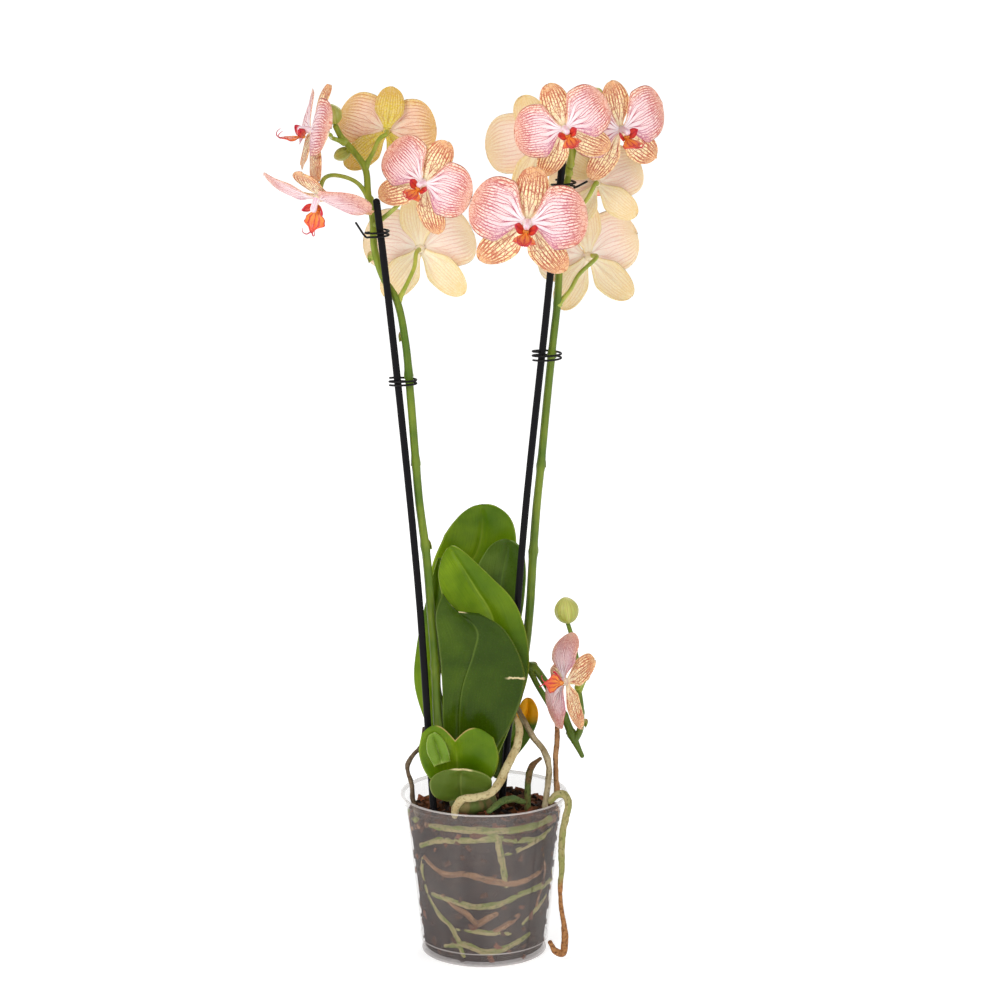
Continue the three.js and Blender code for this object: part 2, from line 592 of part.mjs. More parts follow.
// roots pressed against the inside of the wall: angle in degrees (0 = +X), height
const WALL_ROOTS = {
  root_wall_high: {
    path: [[-150, 84], [-130, 92], [-110, 95], [-85, 97], [-60, 94], [-35, 92]],
    radius: 3.0, colour: 'rootOlive' },
  root_wall_amber: {
    path: [[-146, 76], [-125, 68], [-105, 70], [-85, 66], [-62, 62], [-36, 66]],
    radius: 3.2, colour: 'rootBrown' },
  root_wall_low: {
    path: [[-140, 50], [-120, 48.5], [-98, 45.5], [-78, 47], [-58, 52.5], [-34, 55]],
    radius: 2.8, colour: 'rootOlive' },
  root_wall_foot: {
    path: [[-130, 12], [-108, 16], [-88, 11], [-66, 14], [-44, 20]],
    radius: 3.0, colour: 'rootOlive' },
};
const ROOT_TO_WALL = 0.4;      // clearance between such a root and the wall

function wallRoot(shape, grow = 0) {
  const { path, radius } = shape;
  const fine = path.slice(1).flatMap(([a, z], k) => {
    const [a0, z0] = path[k];
    return [path[k], [(a0 + a) / 2, (z0 + z) / 2]];
  });
  fine.push(path[path.length - 1]);
  const route = fine.map(([degrees, z]) => {
    const a = (degrees * Math.PI) / 180;
    const r = innerRadius(z) - radius - ROOT_TO_WALL;
    return V(r * Math.cos(a), r * Math.sin(a), z);
  });
  return bar(route, [radius * 0.8, radius, radius, radius * 0.85], 6, 12, grow);
}

// one bar for a free root, grown outwards when it is used to cut a channel
function freeRoot(shape, grow = 0) {
  const steps = Math.round(shape.path.length * 1.6);
  return bar(points(shape.path), shape.radii, 6, steps, grow);
}

for (const [name, shape] of Object.entries(ROOTS)) {
  add(name, freeRoot(shape), COLOUR[shape.colour], { roughness: 0.8 });
}
for (const [name, shape] of Object.entries(WALL_ROOTS)) {
  add(name, wallRoot(shape), COLOUR[shape.colour], { roughness: 0.8 });
}

// ---------------------------------------------------------------- crown and bark
const CROWN = { at: [-8, -10, 112], size: [17, 20, 9.5] };
add('crown', ball(V(...CROWN.at), CROWN.size, V(0, 0, 1), 2), COLOUR.crown, { roughness: 0.7 });

function barkHeight(x, y) {
  const r = Math.hypot(x, y) / SHOULDER_RADIUS;
  const chips = Math.sin(x * 0.31 + y * 0.17) + Math.sin(y * 0.37 - x * 0.13) + Math.sin(x * 0.9);
  return BARK_TOP + BARK_DOME * (1 - r * r) + chips * 0.9;
}

function barkMix() {
  const vertices = [];
  const t = [];
  const around = 26;
  const rings = [0.4, 0.75, 1];
  const foot = FLOOR_THICKNESS + GAP;
  const inset = 0.9;
  vertices.push(V(0, 0, barkHeight(0, 0)));
  rings.forEach((k) => {
    for (let j = 0; j < around; j++) {
      const a = (j / around) * Math.PI * 2;
      const r = k * (innerRadius(BARK_TOP) - inset);
      const x = r * Math.cos(a);
      const y = r * Math.sin(a);
      vertices.push(V(x, y, k === 1 ? BARK_TOP : barkHeight(x, y)));
    }
  });
  for (const z of [55, foot]) {
    for (let j = 0; j < around; j++) {
      const a = (j / around) * Math.PI * 2;
      const r = innerRadius(z) - inset - 0.2 * Math.abs(Math.sin(j * 2.1 + z));
      vertices.push(V(r * Math.cos(a), r * Math.sin(a), z));
    }
  }
  vertices.push(V(0, 0, foot));
  const bands = rings.length + 2;
  for (let j = 0; j < around; j++) {
    const n = (j + 1) % around;
    t.push(0, 1 + j, 1 + n);
    for (let k = 0; k < bands - 1; k++) {
      const a = 1 + k * around;
      const b = a + around;
      t.push(a + j, b + j, b + n, a + j, b + n, a + n);
    }
    const last = 1 + (bands - 1) * around;
    t.push(vertices.length - 1, last + n, last + j);
  }
  const tools = [
    ball(V(...CROWN.at), CROWN.size.map((s) => s + GAP), V(0, 0, 1), 2),
  ];
  for (const path of Object.values(CANES)) tools.push(cane(path, GAP));
  for (const shape of Object.values(ROOTS)) tools.push(freeRoot(shape, GAP));
  for (const shape of Object.values(WALL_ROOTS)) tools.push(wallRoot(shape, GAP + 0.3));
  return cut(indexed(vertices, t), tools, 0.15);
}
add('bark_mix', barkMix(), COLOUR.bark, { roughness: 0.95 });

// ---------------------------------------------------------------- wire clips
// each clip is one wire wound round a stem and its cane
function clip(centre, halfX, halfY, turns, pitch, lead, first = -0.9) {
  const path = lead ? [V(centre[0] + lead[0], centre[1] + lead[1], centre[2] + lead[2])] : [];
  const steps = Math.round(turns * 10);
  for (let i = 0; i <= steps; i++) {
    const a = (i / 10) * Math.PI * 2 + Math.PI * first;
    const x = halfX * Math.cos(a);
    const y = halfY * Math.sin(a);
    path.push(V(centre[0] + x, centre[1] + y, centre[2] + (i / 10 - turns / 2) * pitch));
  }
  return bar(path, [WIRE_RADIUS, WIRE_RADIUS], 4, path.length - 1);
}
const CLIPS = {
  clip_left_high: [[-73, -9.5, 516], 8.0, 9.4, 1.6, 2.6, [-14, -8, 8]],
  clip_left_low: [[-55.7, -14, 414], 9.4, 6.0, 1.9, 2.4, null],
  clip_right_low: [[44, 3.2, 430], 10, 9.2, 2.1, 3.0, null],
  clip_right_high: [[55, 1, 549], 8.2, 9.8, 1.4, 3.2, [16, -4, 2], -0.1],
};
for (const [name, c] of Object.entries(CLIPS)) {
  add(name, clip(...c), COLOUR.wire, { roughness: 0.4 });
}

export default plant;
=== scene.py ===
# %% [markdown]
# A potted moth orchid: two tall flower spikes tied to black canes, a short side spike
# that hangs over the rim, eight leaves, aerial roots, and a clear pot full of bark and
# roots. The CAD frame already holds every size and place. This lesson repeats those
# lists and grows finer skins on them: veined petals, waxy leaves, corky roots.

import math

import bpy
import numpy as np
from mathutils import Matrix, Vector


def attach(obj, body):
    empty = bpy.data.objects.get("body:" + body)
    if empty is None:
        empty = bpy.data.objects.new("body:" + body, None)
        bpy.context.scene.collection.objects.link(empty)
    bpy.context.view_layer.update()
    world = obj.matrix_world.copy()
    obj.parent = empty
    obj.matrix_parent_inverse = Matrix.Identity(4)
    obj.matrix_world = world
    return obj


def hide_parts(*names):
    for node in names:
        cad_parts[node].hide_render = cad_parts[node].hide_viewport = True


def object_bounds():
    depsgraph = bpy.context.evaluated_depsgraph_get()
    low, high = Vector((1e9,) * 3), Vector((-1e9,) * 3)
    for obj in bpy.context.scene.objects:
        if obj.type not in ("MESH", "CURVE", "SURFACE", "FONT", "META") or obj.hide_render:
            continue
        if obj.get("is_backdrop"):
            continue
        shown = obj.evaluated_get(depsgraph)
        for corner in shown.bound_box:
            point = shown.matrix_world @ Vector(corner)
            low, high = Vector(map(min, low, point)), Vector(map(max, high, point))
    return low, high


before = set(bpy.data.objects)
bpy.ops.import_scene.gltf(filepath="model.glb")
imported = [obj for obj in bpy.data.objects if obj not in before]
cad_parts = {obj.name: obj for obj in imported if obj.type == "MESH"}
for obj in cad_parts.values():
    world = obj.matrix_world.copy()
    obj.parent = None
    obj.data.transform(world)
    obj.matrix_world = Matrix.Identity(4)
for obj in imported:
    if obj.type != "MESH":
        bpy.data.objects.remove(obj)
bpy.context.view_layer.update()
MM = 0.001

# %% [markdown]
# Two small sums are used all through the plant. A smooth step eases a value from 0 to 1,
# so that a swelling or a colour change has no hard start. A smooth path goes through every
# point of a route, which is how a stem or a root is described by only a few points.

# %% Smooth steps and smooth paths


def smooth(start, end, value):
    """0 before start, 1 after end, eased between."""
    t = np.clip((value - start) / (end - start), 0.0, 1.0)
    return t * t * (3 - 2 * t)


def along(numbers, t):
    """The value of an evenly spaced list at t from 0 to 1."""
    numbers = np.asarray(numbers, float)
    s = np.clip(t, 0, 1) * (len(numbers) - 1)
    i = np.minimum(s.astype(int), len(numbers) - 2)
    f = 0.5 * smooth(0, 1, s - i) + 0.5 * (s - i)
    return numbers[i] + (numbers[i + 1] - numbers[i]) * f


def flowing(numbers, t):
    """Like along(), but on one smooth curve through the numbers."""
    p = np.asarray(numbers, float)
    p = np.concatenate([[2 * p[0] - p[1]], p, [p[-1]]])
    s = np.clip(t, 0, 1) * (len(p) - 3)
    i = np.minimum(s.astype(int), len(p) - 4)
    w = s - i
    a, b, c, d = p[i], p[i + 1], p[i + 2], p[i + 3]
    return b + 0.5 * w * (c - a + w * (2 * a - 5 * b + 4 * c - d + w * (3 * (b - c) + d - a)))


def path(route, t):
    """Points at t on the centripetal curve through a route, one row for each t."""
    p = np.asarray(route, float)
    p = np.vstack([2 * p[0] - p[1], p, 2 * p[-1] - p[-2]])
    s = np.clip(np.asarray(t, float), 0, 1) * (len(p) - 3)
    i = np.minimum(s.astype(int), len(p) - 4)
    w = (s - i)[:, None]
    a, b, c, d = p[i], p[i + 1], p[i + 2], p[i + 3]
    ab, bc, cd = (np.linalg.norm(q, axis=1)[:, None] ** 0.5 for q in (b - a, c - b, d - c))
    out = ((b - a) / ab - (c - a) / (ab + bc) + (c - b) / bc) * bc
    into = ((c - b) / bc - (d - b) / (bc + cd) + (d - c) / cd) * bc
    bend = -3 * b + 3 * c - 2 * out - into
    return b + out * w + bend * w**2 + (2 * b - 2 * c + out + into) * w**3


def unit(v):
    """Vectors of length one."""
    return v / np.maximum(np.linalg.norm(v, axis=-1, keepdims=True), 1e-12)


print("middle of a test path:", path([[0, 0, 0], [0, 0, 10], [0, 5, 20]], [0.5])[0])

# %% [markdown]
# A finish is a material wired from nodes. One helper adds a node, plugs its inputs and
# gives back an output, so that each finish later reads from top to bottom like a recipe.
# Colours are written as a painter's hex numbers and turned into linear light here.

# %% A helper that wires one finish


def paint(code, alpha=1.0):
    """A linear colour from a hex number such as '5b8a10'."""
    srgb = [int(code[i : i + 2], 16) / 255 for i in (0, 2, 4)]
    linear = [c / 12.92 if c <= 0.04045 else ((c + 0.055) / 1.055) ** 2.4 for c in srgb]
    return (*linear, alpha)


class Finish:
    """One finish. Each method adds a node and returns its output."""

    def __init__(self, name, sockets):
        self.material = bpy.data.materials.new(name)
        self.material.use_nodes = True
        self.tree = self.material.node_tree
        self.shader = self.tree.nodes["Principled BSDF"]
        for socket, value in sockets.items():
            self.shader.inputs[socket].default_value = value

    def plug(self, socket, value):
        if isinstance(value, bpy.types.NodeSocket):
            self.tree.links.new(value, socket)
        else:
            socket.default_value = value

    def node(self, kind, inputs, output=0, **settings):
        made = self.tree.nodes.new(kind)
        for setting, value in settings.items():
            setattr(made, setting, value)
        for socket, value in inputs.items():
            self.plug(made.inputs[socket], value)
        return made.outputs[output]

    def note(self, name):
        """A number stored on the mesh's points."""
        return self.node("ShaderNodeAttribute", {}, 2, attribute_name=name)

    def place(self):
        return self.node("ShaderNodeTexCoord", {}, 3)

    def math(self, operation, a, b=0.0, c=0.0):
        return self.node("ShaderNodeMath", {0: a, 1: b, 2: c}, operation=operation)

    def step(self, value, start, end, low=0.0, high=1.0):
        sockets = {"Value": value, "From Min": start, "From Max": end, "To Min": low, "To Max": high}
        return self.node("ShaderNodeMapRange", sockets, interpolation_type="SMOOTHSTEP")

    def vector(self, x, y, z):
        return self.node("ShaderNodeCombineXYZ", {0: x, 1: y, 2: z})

    def stretched(self, scale):
        return self.node("ShaderNodeMapping", {"Vector": self.place(), "Scale": scale})

    def noise(self, vector, scale, detail=3.0):
        return self.node("ShaderNodeTexNoise", {"Vector": vector, "Scale": scale, "Detail": detail})

    def blend(self, factor, a, b, mode="MIX"):
        return self.node("ShaderNodeMix", {0: factor, 6: a, 7: b}, 2, data_type="RGBA", blend_type=mode)

    def bump(self, height, strength, distance):
        sockets = {"Height": height, "Strength": strength, "Distance": distance}
        self.plug(self.shader.inputs["Normal"], self.node("ShaderNodeBump", sockets))

    def colour(self, value):
        self.plug(self.shader.inputs["Base Color"], value)

    def rough(self, value):
        self.plug(self.shader.inputs["Roughness"], value)


print("a test colour in linear light:", paint("5b8a10"))

# %% [markdown]
# Petals, leaves and lobes are thin closed skins. A grid of points is laid over the surface,
# each point is moved half a thickness forwards or backwards, and the outer ring is shared,
# so that front and back meet in one rounded margin. The grid's own two numbers, up the
# blade and across it, are stored on the points, because the veins follow them.

# %% Gather the parts of a piece, then make its mesh


class Piece:
    """Collects grids of points in millimetres and makes one mesh from them."""

    def __init__(self):
        self.points, self.faces, self.finish, self.notes, self.count = [], [], [], {}, 0

    def add(self, points, faces, finish, notes=None):
        """Adds points, faces with the number of their finish, and numbers for each point."""
        self.points.append(points)
        self.faces += [tuple(int(k) + self.count for k in face) for face in faces]
        self.finish += list(finish)
        for name, values in (notes or {}).items():
            filled = self.notes.setdefault(name, [])
            filled += [0.0] * (self.count - len(filled)) + list(np.ravel(values))
        self.count += len(points)

    def make(self, name, finishes):
        mesh = bpy.data.meshes.new(name)
        mesh.from_pydata((np.vstack(self.points) * MM).tolist(), [], self.faces)
        for finish in finishes:
            mesh.materials.append(finish.material)
        mesh.polygons.foreach_set("material_index", self.finish)
        mesh.polygons.foreach_set("use_smooth", [True] * len(self.faces))
        for note, values in self.notes.items():
            kept = mesh.attributes.new(note, "FLOAT", "POINT")
            kept.data.foreach_set("value", values + [0.0] * (self.count - len(values)))
        mesh.validate()
        made = bpy.data.objects.new(name, mesh)
        bpy.context.scene.collection.objects.link(made)
        return made


def grid(rows, columns):
    """Numbers up (0 to 1) and across (-1 to 1), closer together near the tip and margins."""
    t = np.linspace(0, 1, rows + 1)
    s = np.linspace(-1, 1, columns + 1)
    up = 0.45 * t + 0.55 * np.sin(t * math.pi / 2)
    across = 0.7 * s + 0.3 * np.sin(s * math.pi / 2)
    return np.meshgrid(up, across, indexing="ij")


def skin(points, thickness, rim=0.12):
    """A closed thin skin on a grid of points: its points, faces, and 0 or 1 for front or back."""
    rows, columns = points.shape[0] - 1, points.shape[1] - 1
    normal = unit(np.cross(np.gradient(points, axis=1), np.gradient(points, axis=0)))
    i, j = np.meshgrid(np.arange(rows + 1) / rows, np.arange(columns + 1) / columns, indexing="ij")
    margin = np.minimum(np.minimum(j, 1 - j) * 2, np.minimum(1 - i, i * 3))
    half = (0.5 * thickness * np.sqrt(1 - (1 - np.clip(margin / rim, 0, 1)) ** 2))[..., None]
    ring = (i == 0) | (i == 1) | (j == 0) | (j == 1)
    front = np.arange(ring.size).reshape(ring.shape)
    back = front.copy()
    back[~ring] = ring.size + np.arange((~ring).sum())
    all_points = np.vstack([(points + normal * half).reshape(-1, 3), (points - normal * half)[~ring]])

    def quads(k):
        return np.stack([k[:-1, :-1], k[:-1, 1:], k[1:, 1:], k[1:, :-1]], -1).reshape(-1, 4)

    faces = np.vstack([quads(front), quads(back)[:, ::-1]])
    sides = np.repeat([0, 1], rows * columns)
    return all_points, faces, sides, ~ring


def noted(values, inside):
    """A grid of numbers in the point order of skin()."""
    return np.concatenate([values.ravel(), values[inside]])


def rod(route, radii, sides=12, steps=10):
    """A closed round bar with domed ends: its points and faces."""
    t = np.linspace(0, 1, steps + 1)
    middle, size = path(route, t), along(radii, t)
    ahead = unit(np.gradient(middle, axis=0))
    side = np.zeros_like(ahead)
    side[0] = unit(np.cross(ahead[0], [0.3, 0.9, 0.2]))
    for k in range(1, steps + 1):
        side[k] = unit(side[k - 1] - ahead[k] * np.dot(side[k - 1], ahead[k]))
    other = np.cross(ahead, side)
    dome = np.radians([75, 50, 25])
    start = [(middle[0] - ahead[0] * size[0] * math.sin(a), side[0], other[0], size[0] * math.cos(a))
             for a in dome]
    end = [(middle[-1] + ahead[-1] * size[-1] * math.sin(a), side[-1], other[-1], size[-1] * math.cos(a))
           for a in dome[::-1]]
    rings = start + list(zip(middle, side, other, size)) + end
    turn = np.arange(sides) / sides * 2 * math.pi
    points = [m + r * (np.outer(np.cos(turn), s) + np.outer(np.sin(turn), o)) for m, s, o, r in rings]
    points += [[middle[0] - ahead[0] * size[0]], [middle[-1] + ahead[-1] * size[-1]]]
    faces = []
    for k in range(len(rings) - 1):
        for j in range(sides):
            n = (j + 1) % sides
            faces.append((k * sides + j, k * sides + n, (k + 1) * sides + n, (k + 1) * sides + j))
    first, last = len(rings) * sides, (len(rings) - 1) * sides
    faces += [(first, (j + 1) % sides, j) for j in range(sides)]
    faces += [(first + 1, last + j, last + (j + 1) % sides) for j in range(sides)]
    return np.vstack(points), faces


def globe(centre, size, axis=(0, 0, 1), sides=28, rings=20, grooves=0, depth=0.0, point=0.0):
    """A closed rounded body with lengthwise grooves, pointed along its axis."""
    up = unit(np.asarray(axis, float))
    side = unit(np.cross([0.2, 1, 0.1], up))
    other = np.cross(up, side)
    lift = np.linspace(0, math.pi, rings + 1)[1:-1]
    turn = np.arange(sides) / sides * 2 * math.pi
    a, b = np.meshgrid(lift, turn, indexing="ij")
    groove = 1 - depth * np.abs(np.cos(b * grooves / 2)) ** 14 * np.sin(a)
    slim = 1 - point * np.maximum(0, np.cos(a)) ** 2
    x, y, z = (np.sin(a) * np.cos(b) * groove * slim, np.sin(a) * np.sin(b) * groove * slim, np.cos(a))
    body = np.asarray(centre) + (x * size[0])[..., None] * side + (y * size[1])[..., None] * other \
        + (z * size[2])[..., None] * up
    points = np.vstack([body.reshape(-1, 3), [centre + up * size[2], centre - up * size[2]]])
    faces = []
    for i in range(rings - 2):
        for j in range(sides):
            n = (j + 1) % sides
            faces.append((i * sides + j, (i + 1) * sides + j, (i + 1) * sides + n, i * sides + n))
    top, foot = len(points) - 2, len(points) - 1
    faces += [(top, j, (j + 1) % sides) for j in range(sides)]
    last = (rings - 2) * sides
    faces += [(foot, last + (j + 1) % sides, last + j) for j in range(sides)]
    return points, faces, (np.append(a.ravel(), [0, math.pi]), np.append(b.ravel(), [0, 0]))


print("a skin of 4 by 4 cells has", len(skin(np.zeros((5, 5, 3)), 1)[0]), "points")

# %% [markdown]
# The front of a moth orchid petal is pale, with rose veins that fan out from the claw and
# fork twice on the way to the margin. The veins are drawn in the petal's own coordinates:
# the distance across is cut into a few main veins, and each fork folds that distance once
# more, so that one vein becomes three. Fine cross veins come from cell borders. The same
# recipe with other numbers gives the netted orange sepals and the plain pale backs.

# %% Petal and sepal finishes


def veined(name, heart, middle, margin, vein, far_vein, dusk, mains, width, net, strength, length,
           cell=0.5):
    """Veins over a ground that runs from the heart of the flower to the margin."""
    f = Finish(name, {"Roughness": 0.5, "Subsurface Weight": 0.12, "Subsurface Scale": 0.004,
                      "Subsurface Radius": (1.0, 0.5, 0.4), "Sheen Weight": 0.1,
                      "Specular IOR Level": 0.35})
    up, across, half, odd = f.note("up"), f.note("across"), f.note("half"), f.note("odd")
    spot = f.vector(across, f.math("MULTIPLY", up, 1.4), f.math("MULTIPLY", odd, 9))
    wander = f.math("SUBTRACT", f.noise(spot, 2.6), 0.5)
    lane = f.math("MULTIPLY", f.math("MULTIPLY_ADD", wander, 0.16, across), mains)
    main = f.math("ROUND", lane)
    luck = f.node("ShaderNodeTexWhiteNoise", {"Vector": f.vector(main, odd, 0.5)})
    high = f.math("MULTIPLY_ADD", f.math("SUBTRACT", luck, 0.5), 0.24, up)
    off = f.math("ABSOLUTE", f.math("SUBTRACT", lane, main))
    third = f.step(high, 0.06, 0.5, 0.0, 1 / 3)
    off = f.math("MINIMUM", off, f.math("ABSOLUTE", f.math("SUBTRACT", off, third)))
    off = f.math("ABSOLUTE", f.math("SUBTRACT", off, f.step(high, 0.5, 0.95, 0.0, 1 / 12)))
    gap = f.math("DIVIDE", f.math("MULTIPLY", off, half), mains)
    line = f.math("MULTIPLY", f.step(gap, width * 0.35, width, strength, 0.0),
                  f.step(up, 0.98, 0.8, 0.35, 1.0))
    edge = f.math("MAXIMUM", up, f.math("ABSOLUTE", across))
    cells = f.vector(f.math("MULTIPLY", f.math("MULTIPLY", across, half), cell),
                     f.math("MULTIPLY", up, length * cell * 0.6), f.math("MULTIPLY", odd, 40))
    border = f.node("ShaderNodeTexVoronoi", {"Vector": cells, "Scale": 1.0}, feature="DISTANCE_TO_EDGE")
    mesh = f.math("MULTIPLY", f.step(border, 0.02, 0.1, strength, 0.0),
                  f.step(edge, net, net + 0.45, 0.0, 0.8))
    veins = f.math("MULTIPLY", f.math("MAXIMUM", line, mesh), f.step(up, 0.02, 0.24, 0.15, 1.0))
    grain = f.noise(f.place(), 900.0, 2.0)
    ground = f.blend(f.step(up, 0.08, 0.42), paint(heart), paint(middle))
    ground = f.blend(f.step(edge, 0.5, 1.0), ground, paint(margin))
    shade = f.math("MULTIPLY", f.note("low"), f.step(up, 0.75, 0.15))
    ground = f.blend(f.math("MULTIPLY", shade, 0.45), ground, paint(dusk))
    # Painted sparkle: white specks from the fine noise stand in for glints off the velvety petal; the same
    # noise also gives the real bump.
    ground = f.blend(f.step(grain, 0.35, 0.7, 0.0, 0.22), ground, (1, 1, 1, 1))
    ink = f.blend(f.step(edge, 0.45, 1.0), paint(vein), paint(far_vein))
    ink = f.blend(shade, ink, paint(dusk))
    rim = f.step(f.math("MAXIMUM", f.step(up, 0.965, 1.0), f.step(f.math("ABSOLUTE", across), 0.975, 1.0)),
                 0.0, 1.0, 0.0, strength * 0.35)
    f.colour(f.blend(f.math("MAXIMUM", veins, rim), ground, ink))
    f.bump(f.math("MULTIPLY_ADD", grain, 0.3, veins), 0.35, 0.0003)
    return f


PETAL_FRONT = veined("petal_front", "fbeef3", "f8d2d2", "f8cdb0", "ae2c54", "bd4434", "ae4084",
                     3.4, 0.34, 0.35, 0.95, 41)
SEPAL_FRONT = veined("sepal_front", "f8e8c0", "fbe3ae", "f8cd8e", "ac3424", "b44426", "b44636",
                     1.6, 0.4, 0.05, 0.95, 44, 0.4)
PETAL_BACK = veined("petal_back_cream", "f8ecdc", "f5dccb", "efd7ac", "d98c80", "d9a070", "e6c4ae",
                    2.6, 0.34, 0.9, 0.45, 41)
SEPAL_BACK = veined("sepal_back_cream", "f4e4c4", "efd8ac", "ecd294", "d8a078", "dba878", "e6d6a0",
                    1.9, 0.4, 0.9, 0.35, 44)
PETAL_GOLD = veined("petal_back_gold", "f2dcc6", "edc3a8", "e3c074", "bf5a4a", "b9602c", "dba078",
                    2.6, 0.36, 0.7, 0.65, 41)
SEPAL_GOLD = veined("sepal_back_gold", "dcc834", "dabf42", "d6b648", "b07030", "b87430", "d8bc50",
                    1.9, 0.4, 0.8, 0.5, 44)
print("petal finishes made:", len(bpy.data.materials))

# %% [markdown]
# The lip is the landing place for an insect: a tongue of orange streaked with crimson, two
# deep crimson side lobes that stand up beside it, and a pair of thin whiskers at its tip.
# The column above it is waxy and white-pink. Streaks follow the lip's own coordinates.

# %% Lip and column finishes


def streaked(name, ground, far, streak, lanes, strength, gloss):
    """Lengthwise streaks and blotches over a two-colour ground."""
    f = Finish(name, {"Roughness": gloss, "Coat Weight": 0.25, "Coat Roughness": 0.2,
                      "Subsurface Weight": 0.1, "Subsurface Scale": 0.003})
    up, across = f.note("up"), f.note("across")
    blotch = f.noise(f.place(), 420.0)
    base = f.blend(f.step(up, 0.2, 0.95), paint(ground), paint(far))
    wave = f.math("SINE", f.math("MULTIPLY_ADD", blotch, 2.5, f.math("MULTIPLY", across, lanes)))
    mark = f.math("MULTIPLY", f.step(wave, 0.1, 0.7), f.step(blotch, 0.3, 0.6, 0.5, 1.0))
    f.colour(f.blend(f.math("MULTIPLY", mark, strength), base, paint(streak)))
    f.bump(blotch, 0.3, 0.0003)
    return f


TONGUE = streaked("lip_tongue", "f4943a", "e04a2c", "bf1430", 13.0, 0.85, 0.4)
LOBE = streaked("lip_lobe", "e04a30", "cc1838", "a80c30", 7.0, 0.6, 0.38)
COLUMN = streaked("column_waxy", "f3d6de", "f7e6ea", "d77da6", 3.0, 0.45, 0.35)
CALLUS = streaked("lip_callus", "f3a53a", "ee7a2c", "b3152c", 16.0, 0.8, 0.35)
print("lip finishes made")

# %% [markdown]
# A flower is described once, lying on its back: x to the right, y towards the top sepal and
# z towards the visitor. Each of its five petals and sepals widens from a narrow claw, bows
# forwards a little and sweeps back at the tip. No two petals of a real flower are flat in
# the same way, so every flower bends and ruffles them a little by its own seed.

# %% The five petals and sepals of one flower
PETAL = {"length": 41, "width": 45, "claw": 0.14, "shoulder": 0.42, "power": 2.6,
         "start": 1.1, "bow": 2.2, "sweep": 4.5, "cup": -0.5}
SEPAL = {"length": 44, "width": 24, "claw": 0.27, "shoulder": 0.45, "power": 2.2,
         "start": -1.7, "bow": 0.4, "sweep": 3.6, "cup": -0.8}
TEPALS = [({**SEPAL, "length": 38}, 0, 0.0), (SEPAL, 138, 0.02), (SEPAL, -138, -0.02),
          (PETAL, 77, -0.05), (PETAL, -77, 0.05)]
PETAL_SKIN = 0.6


def tepal(shape, angle, lean, chance):
    """A petal or sepal along an angle from the top: its points and the notes for its veins."""
    up, across = grid(40, 26)
    a = math.radians(angle)
    swell = shape["claw"] + (1 - shape["claw"]) * smooth(0, shape["shoulder"], up)
    taper = np.sqrt(np.maximum(0, 1 - np.maximum(0, (up - 0.5) / 0.5) ** shape["power"]))
    half = shape["width"] / 2 * np.maximum(0.045, swell * taper)
    drift = lean * shape["length"] * np.sin(math.pi * np.minimum(1, up * 0.95))
    lift = shape["start"] + shape["bow"] * np.sin(math.pi * up) - shape["sweep"] * up**2
    lift += shape["cup"] * across**2 * smooth(0.05, 0.5, up)
    wave = np.sin(across * 4.2 + up * 5 + chance[0] * 6) * 0.5 \
        + np.sin(up * 9 + across * 7 + chance[1] * 6) * 0.3
    lift += wave * np.maximum(np.abs(across), up) ** 2 * smooth(0.1, 0.6, up) * 1.1
    lift += (chance[2] - 0.5) * 2.2 * up**2 + (chance[3] - 0.5) * 2.0 * across * up
    lift -= 0.9 * np.exp(-((across / 0.07) ** 2)) * smooth(0.0, 0.2, up) * smooth(1.0, 0.5, up)
    far = 2.2 + up * (shape["length"] - 2.2)
    sideways = across * half + drift
    x = math.sin(a) * far + math.cos(a) * sideways
    y = math.cos(a) * far - math.sin(a) * sideways
    low = smooth(2.0, -14.0, y) * (abs(angle) == 77)
    notes = {"up": up, "across": across, "half": half, "low": low, "odd": np.full(up.shape, chance[4])}
    return np.stack([x, y, lift], -1), notes


def facing(turn):
    """The flower's right, top and forward directions from its azimuth, elevation and roll."""
    a, e, g = np.radians(turn)
    ahead = np.array([math.sin(a) * math.cos(e), -math.cos(a) * math.cos(e), math.sin(e)])
    right = np.array([math.cos(a), math.sin(a), 0.0])
    top = np.array([-math.sin(a) * math.sin(e), math.cos(a) * math.sin(e), math.cos(e)])
    return np.array([right * math.cos(g) - top * math.sin(g), right * math.sin(g) + top * math.cos(g), ahead])


FLOWERS = {
    "l1": ([-116, -25, 587], [-73, 12, 8], 0.88, "rose"),
    "l2": ([-67, 20, 584], [180, 8, -8], 0.85, "gold"),
    "l3": ([-40.5, -23, 552], [-20, -6, 31], 0.85, "rose"),
    "l4": ([-44, 28, 502], [168, 10, 4], 1.0, "cream"),
    "l5": ([-112, -33, 543], [-47, -64, 28], 0.97, "rose"),
    "r1": ([55, -30, 589], [10, -12, -22], 0.84, "rose"),
    "r2": ([94.5, 3, 586], [28, -8, -14], 0.9, "rose"),
    "r3": ([30, -35, 526], [-4, -10, 8], 1.0, "rose"),
    "r4": ([40, 28, 575], [172, 5, 20], 0.95, "cream"),
    "r5": ([79, 27, 547], [172, -5, 10], 0.82, "cream"),
    "r6": ([73, 42, 495], [206, -3, 5], 1.0, "cream"),
    "s1": ([57, -24, 203], [-66, 10, -86], 0.85, "rose"),
}


def stand(points, flower):
    """Points of the flower lying on its back, moved to where the flower is."""
    at, turn, size, _ = flower
    return np.asarray(at) + size * (points.reshape(-1, 3) @ facing(turn))


print("flowers to make:", len(FLOWERS))

# %% [markdown]
# The column in the middle carries a small cap over the pollen. It is a short bar that
# narrows and then swells, with the cap as a rounded bead on its end. Petals, column and
# the round base behind them become one piece for each flower, with its own finishes.

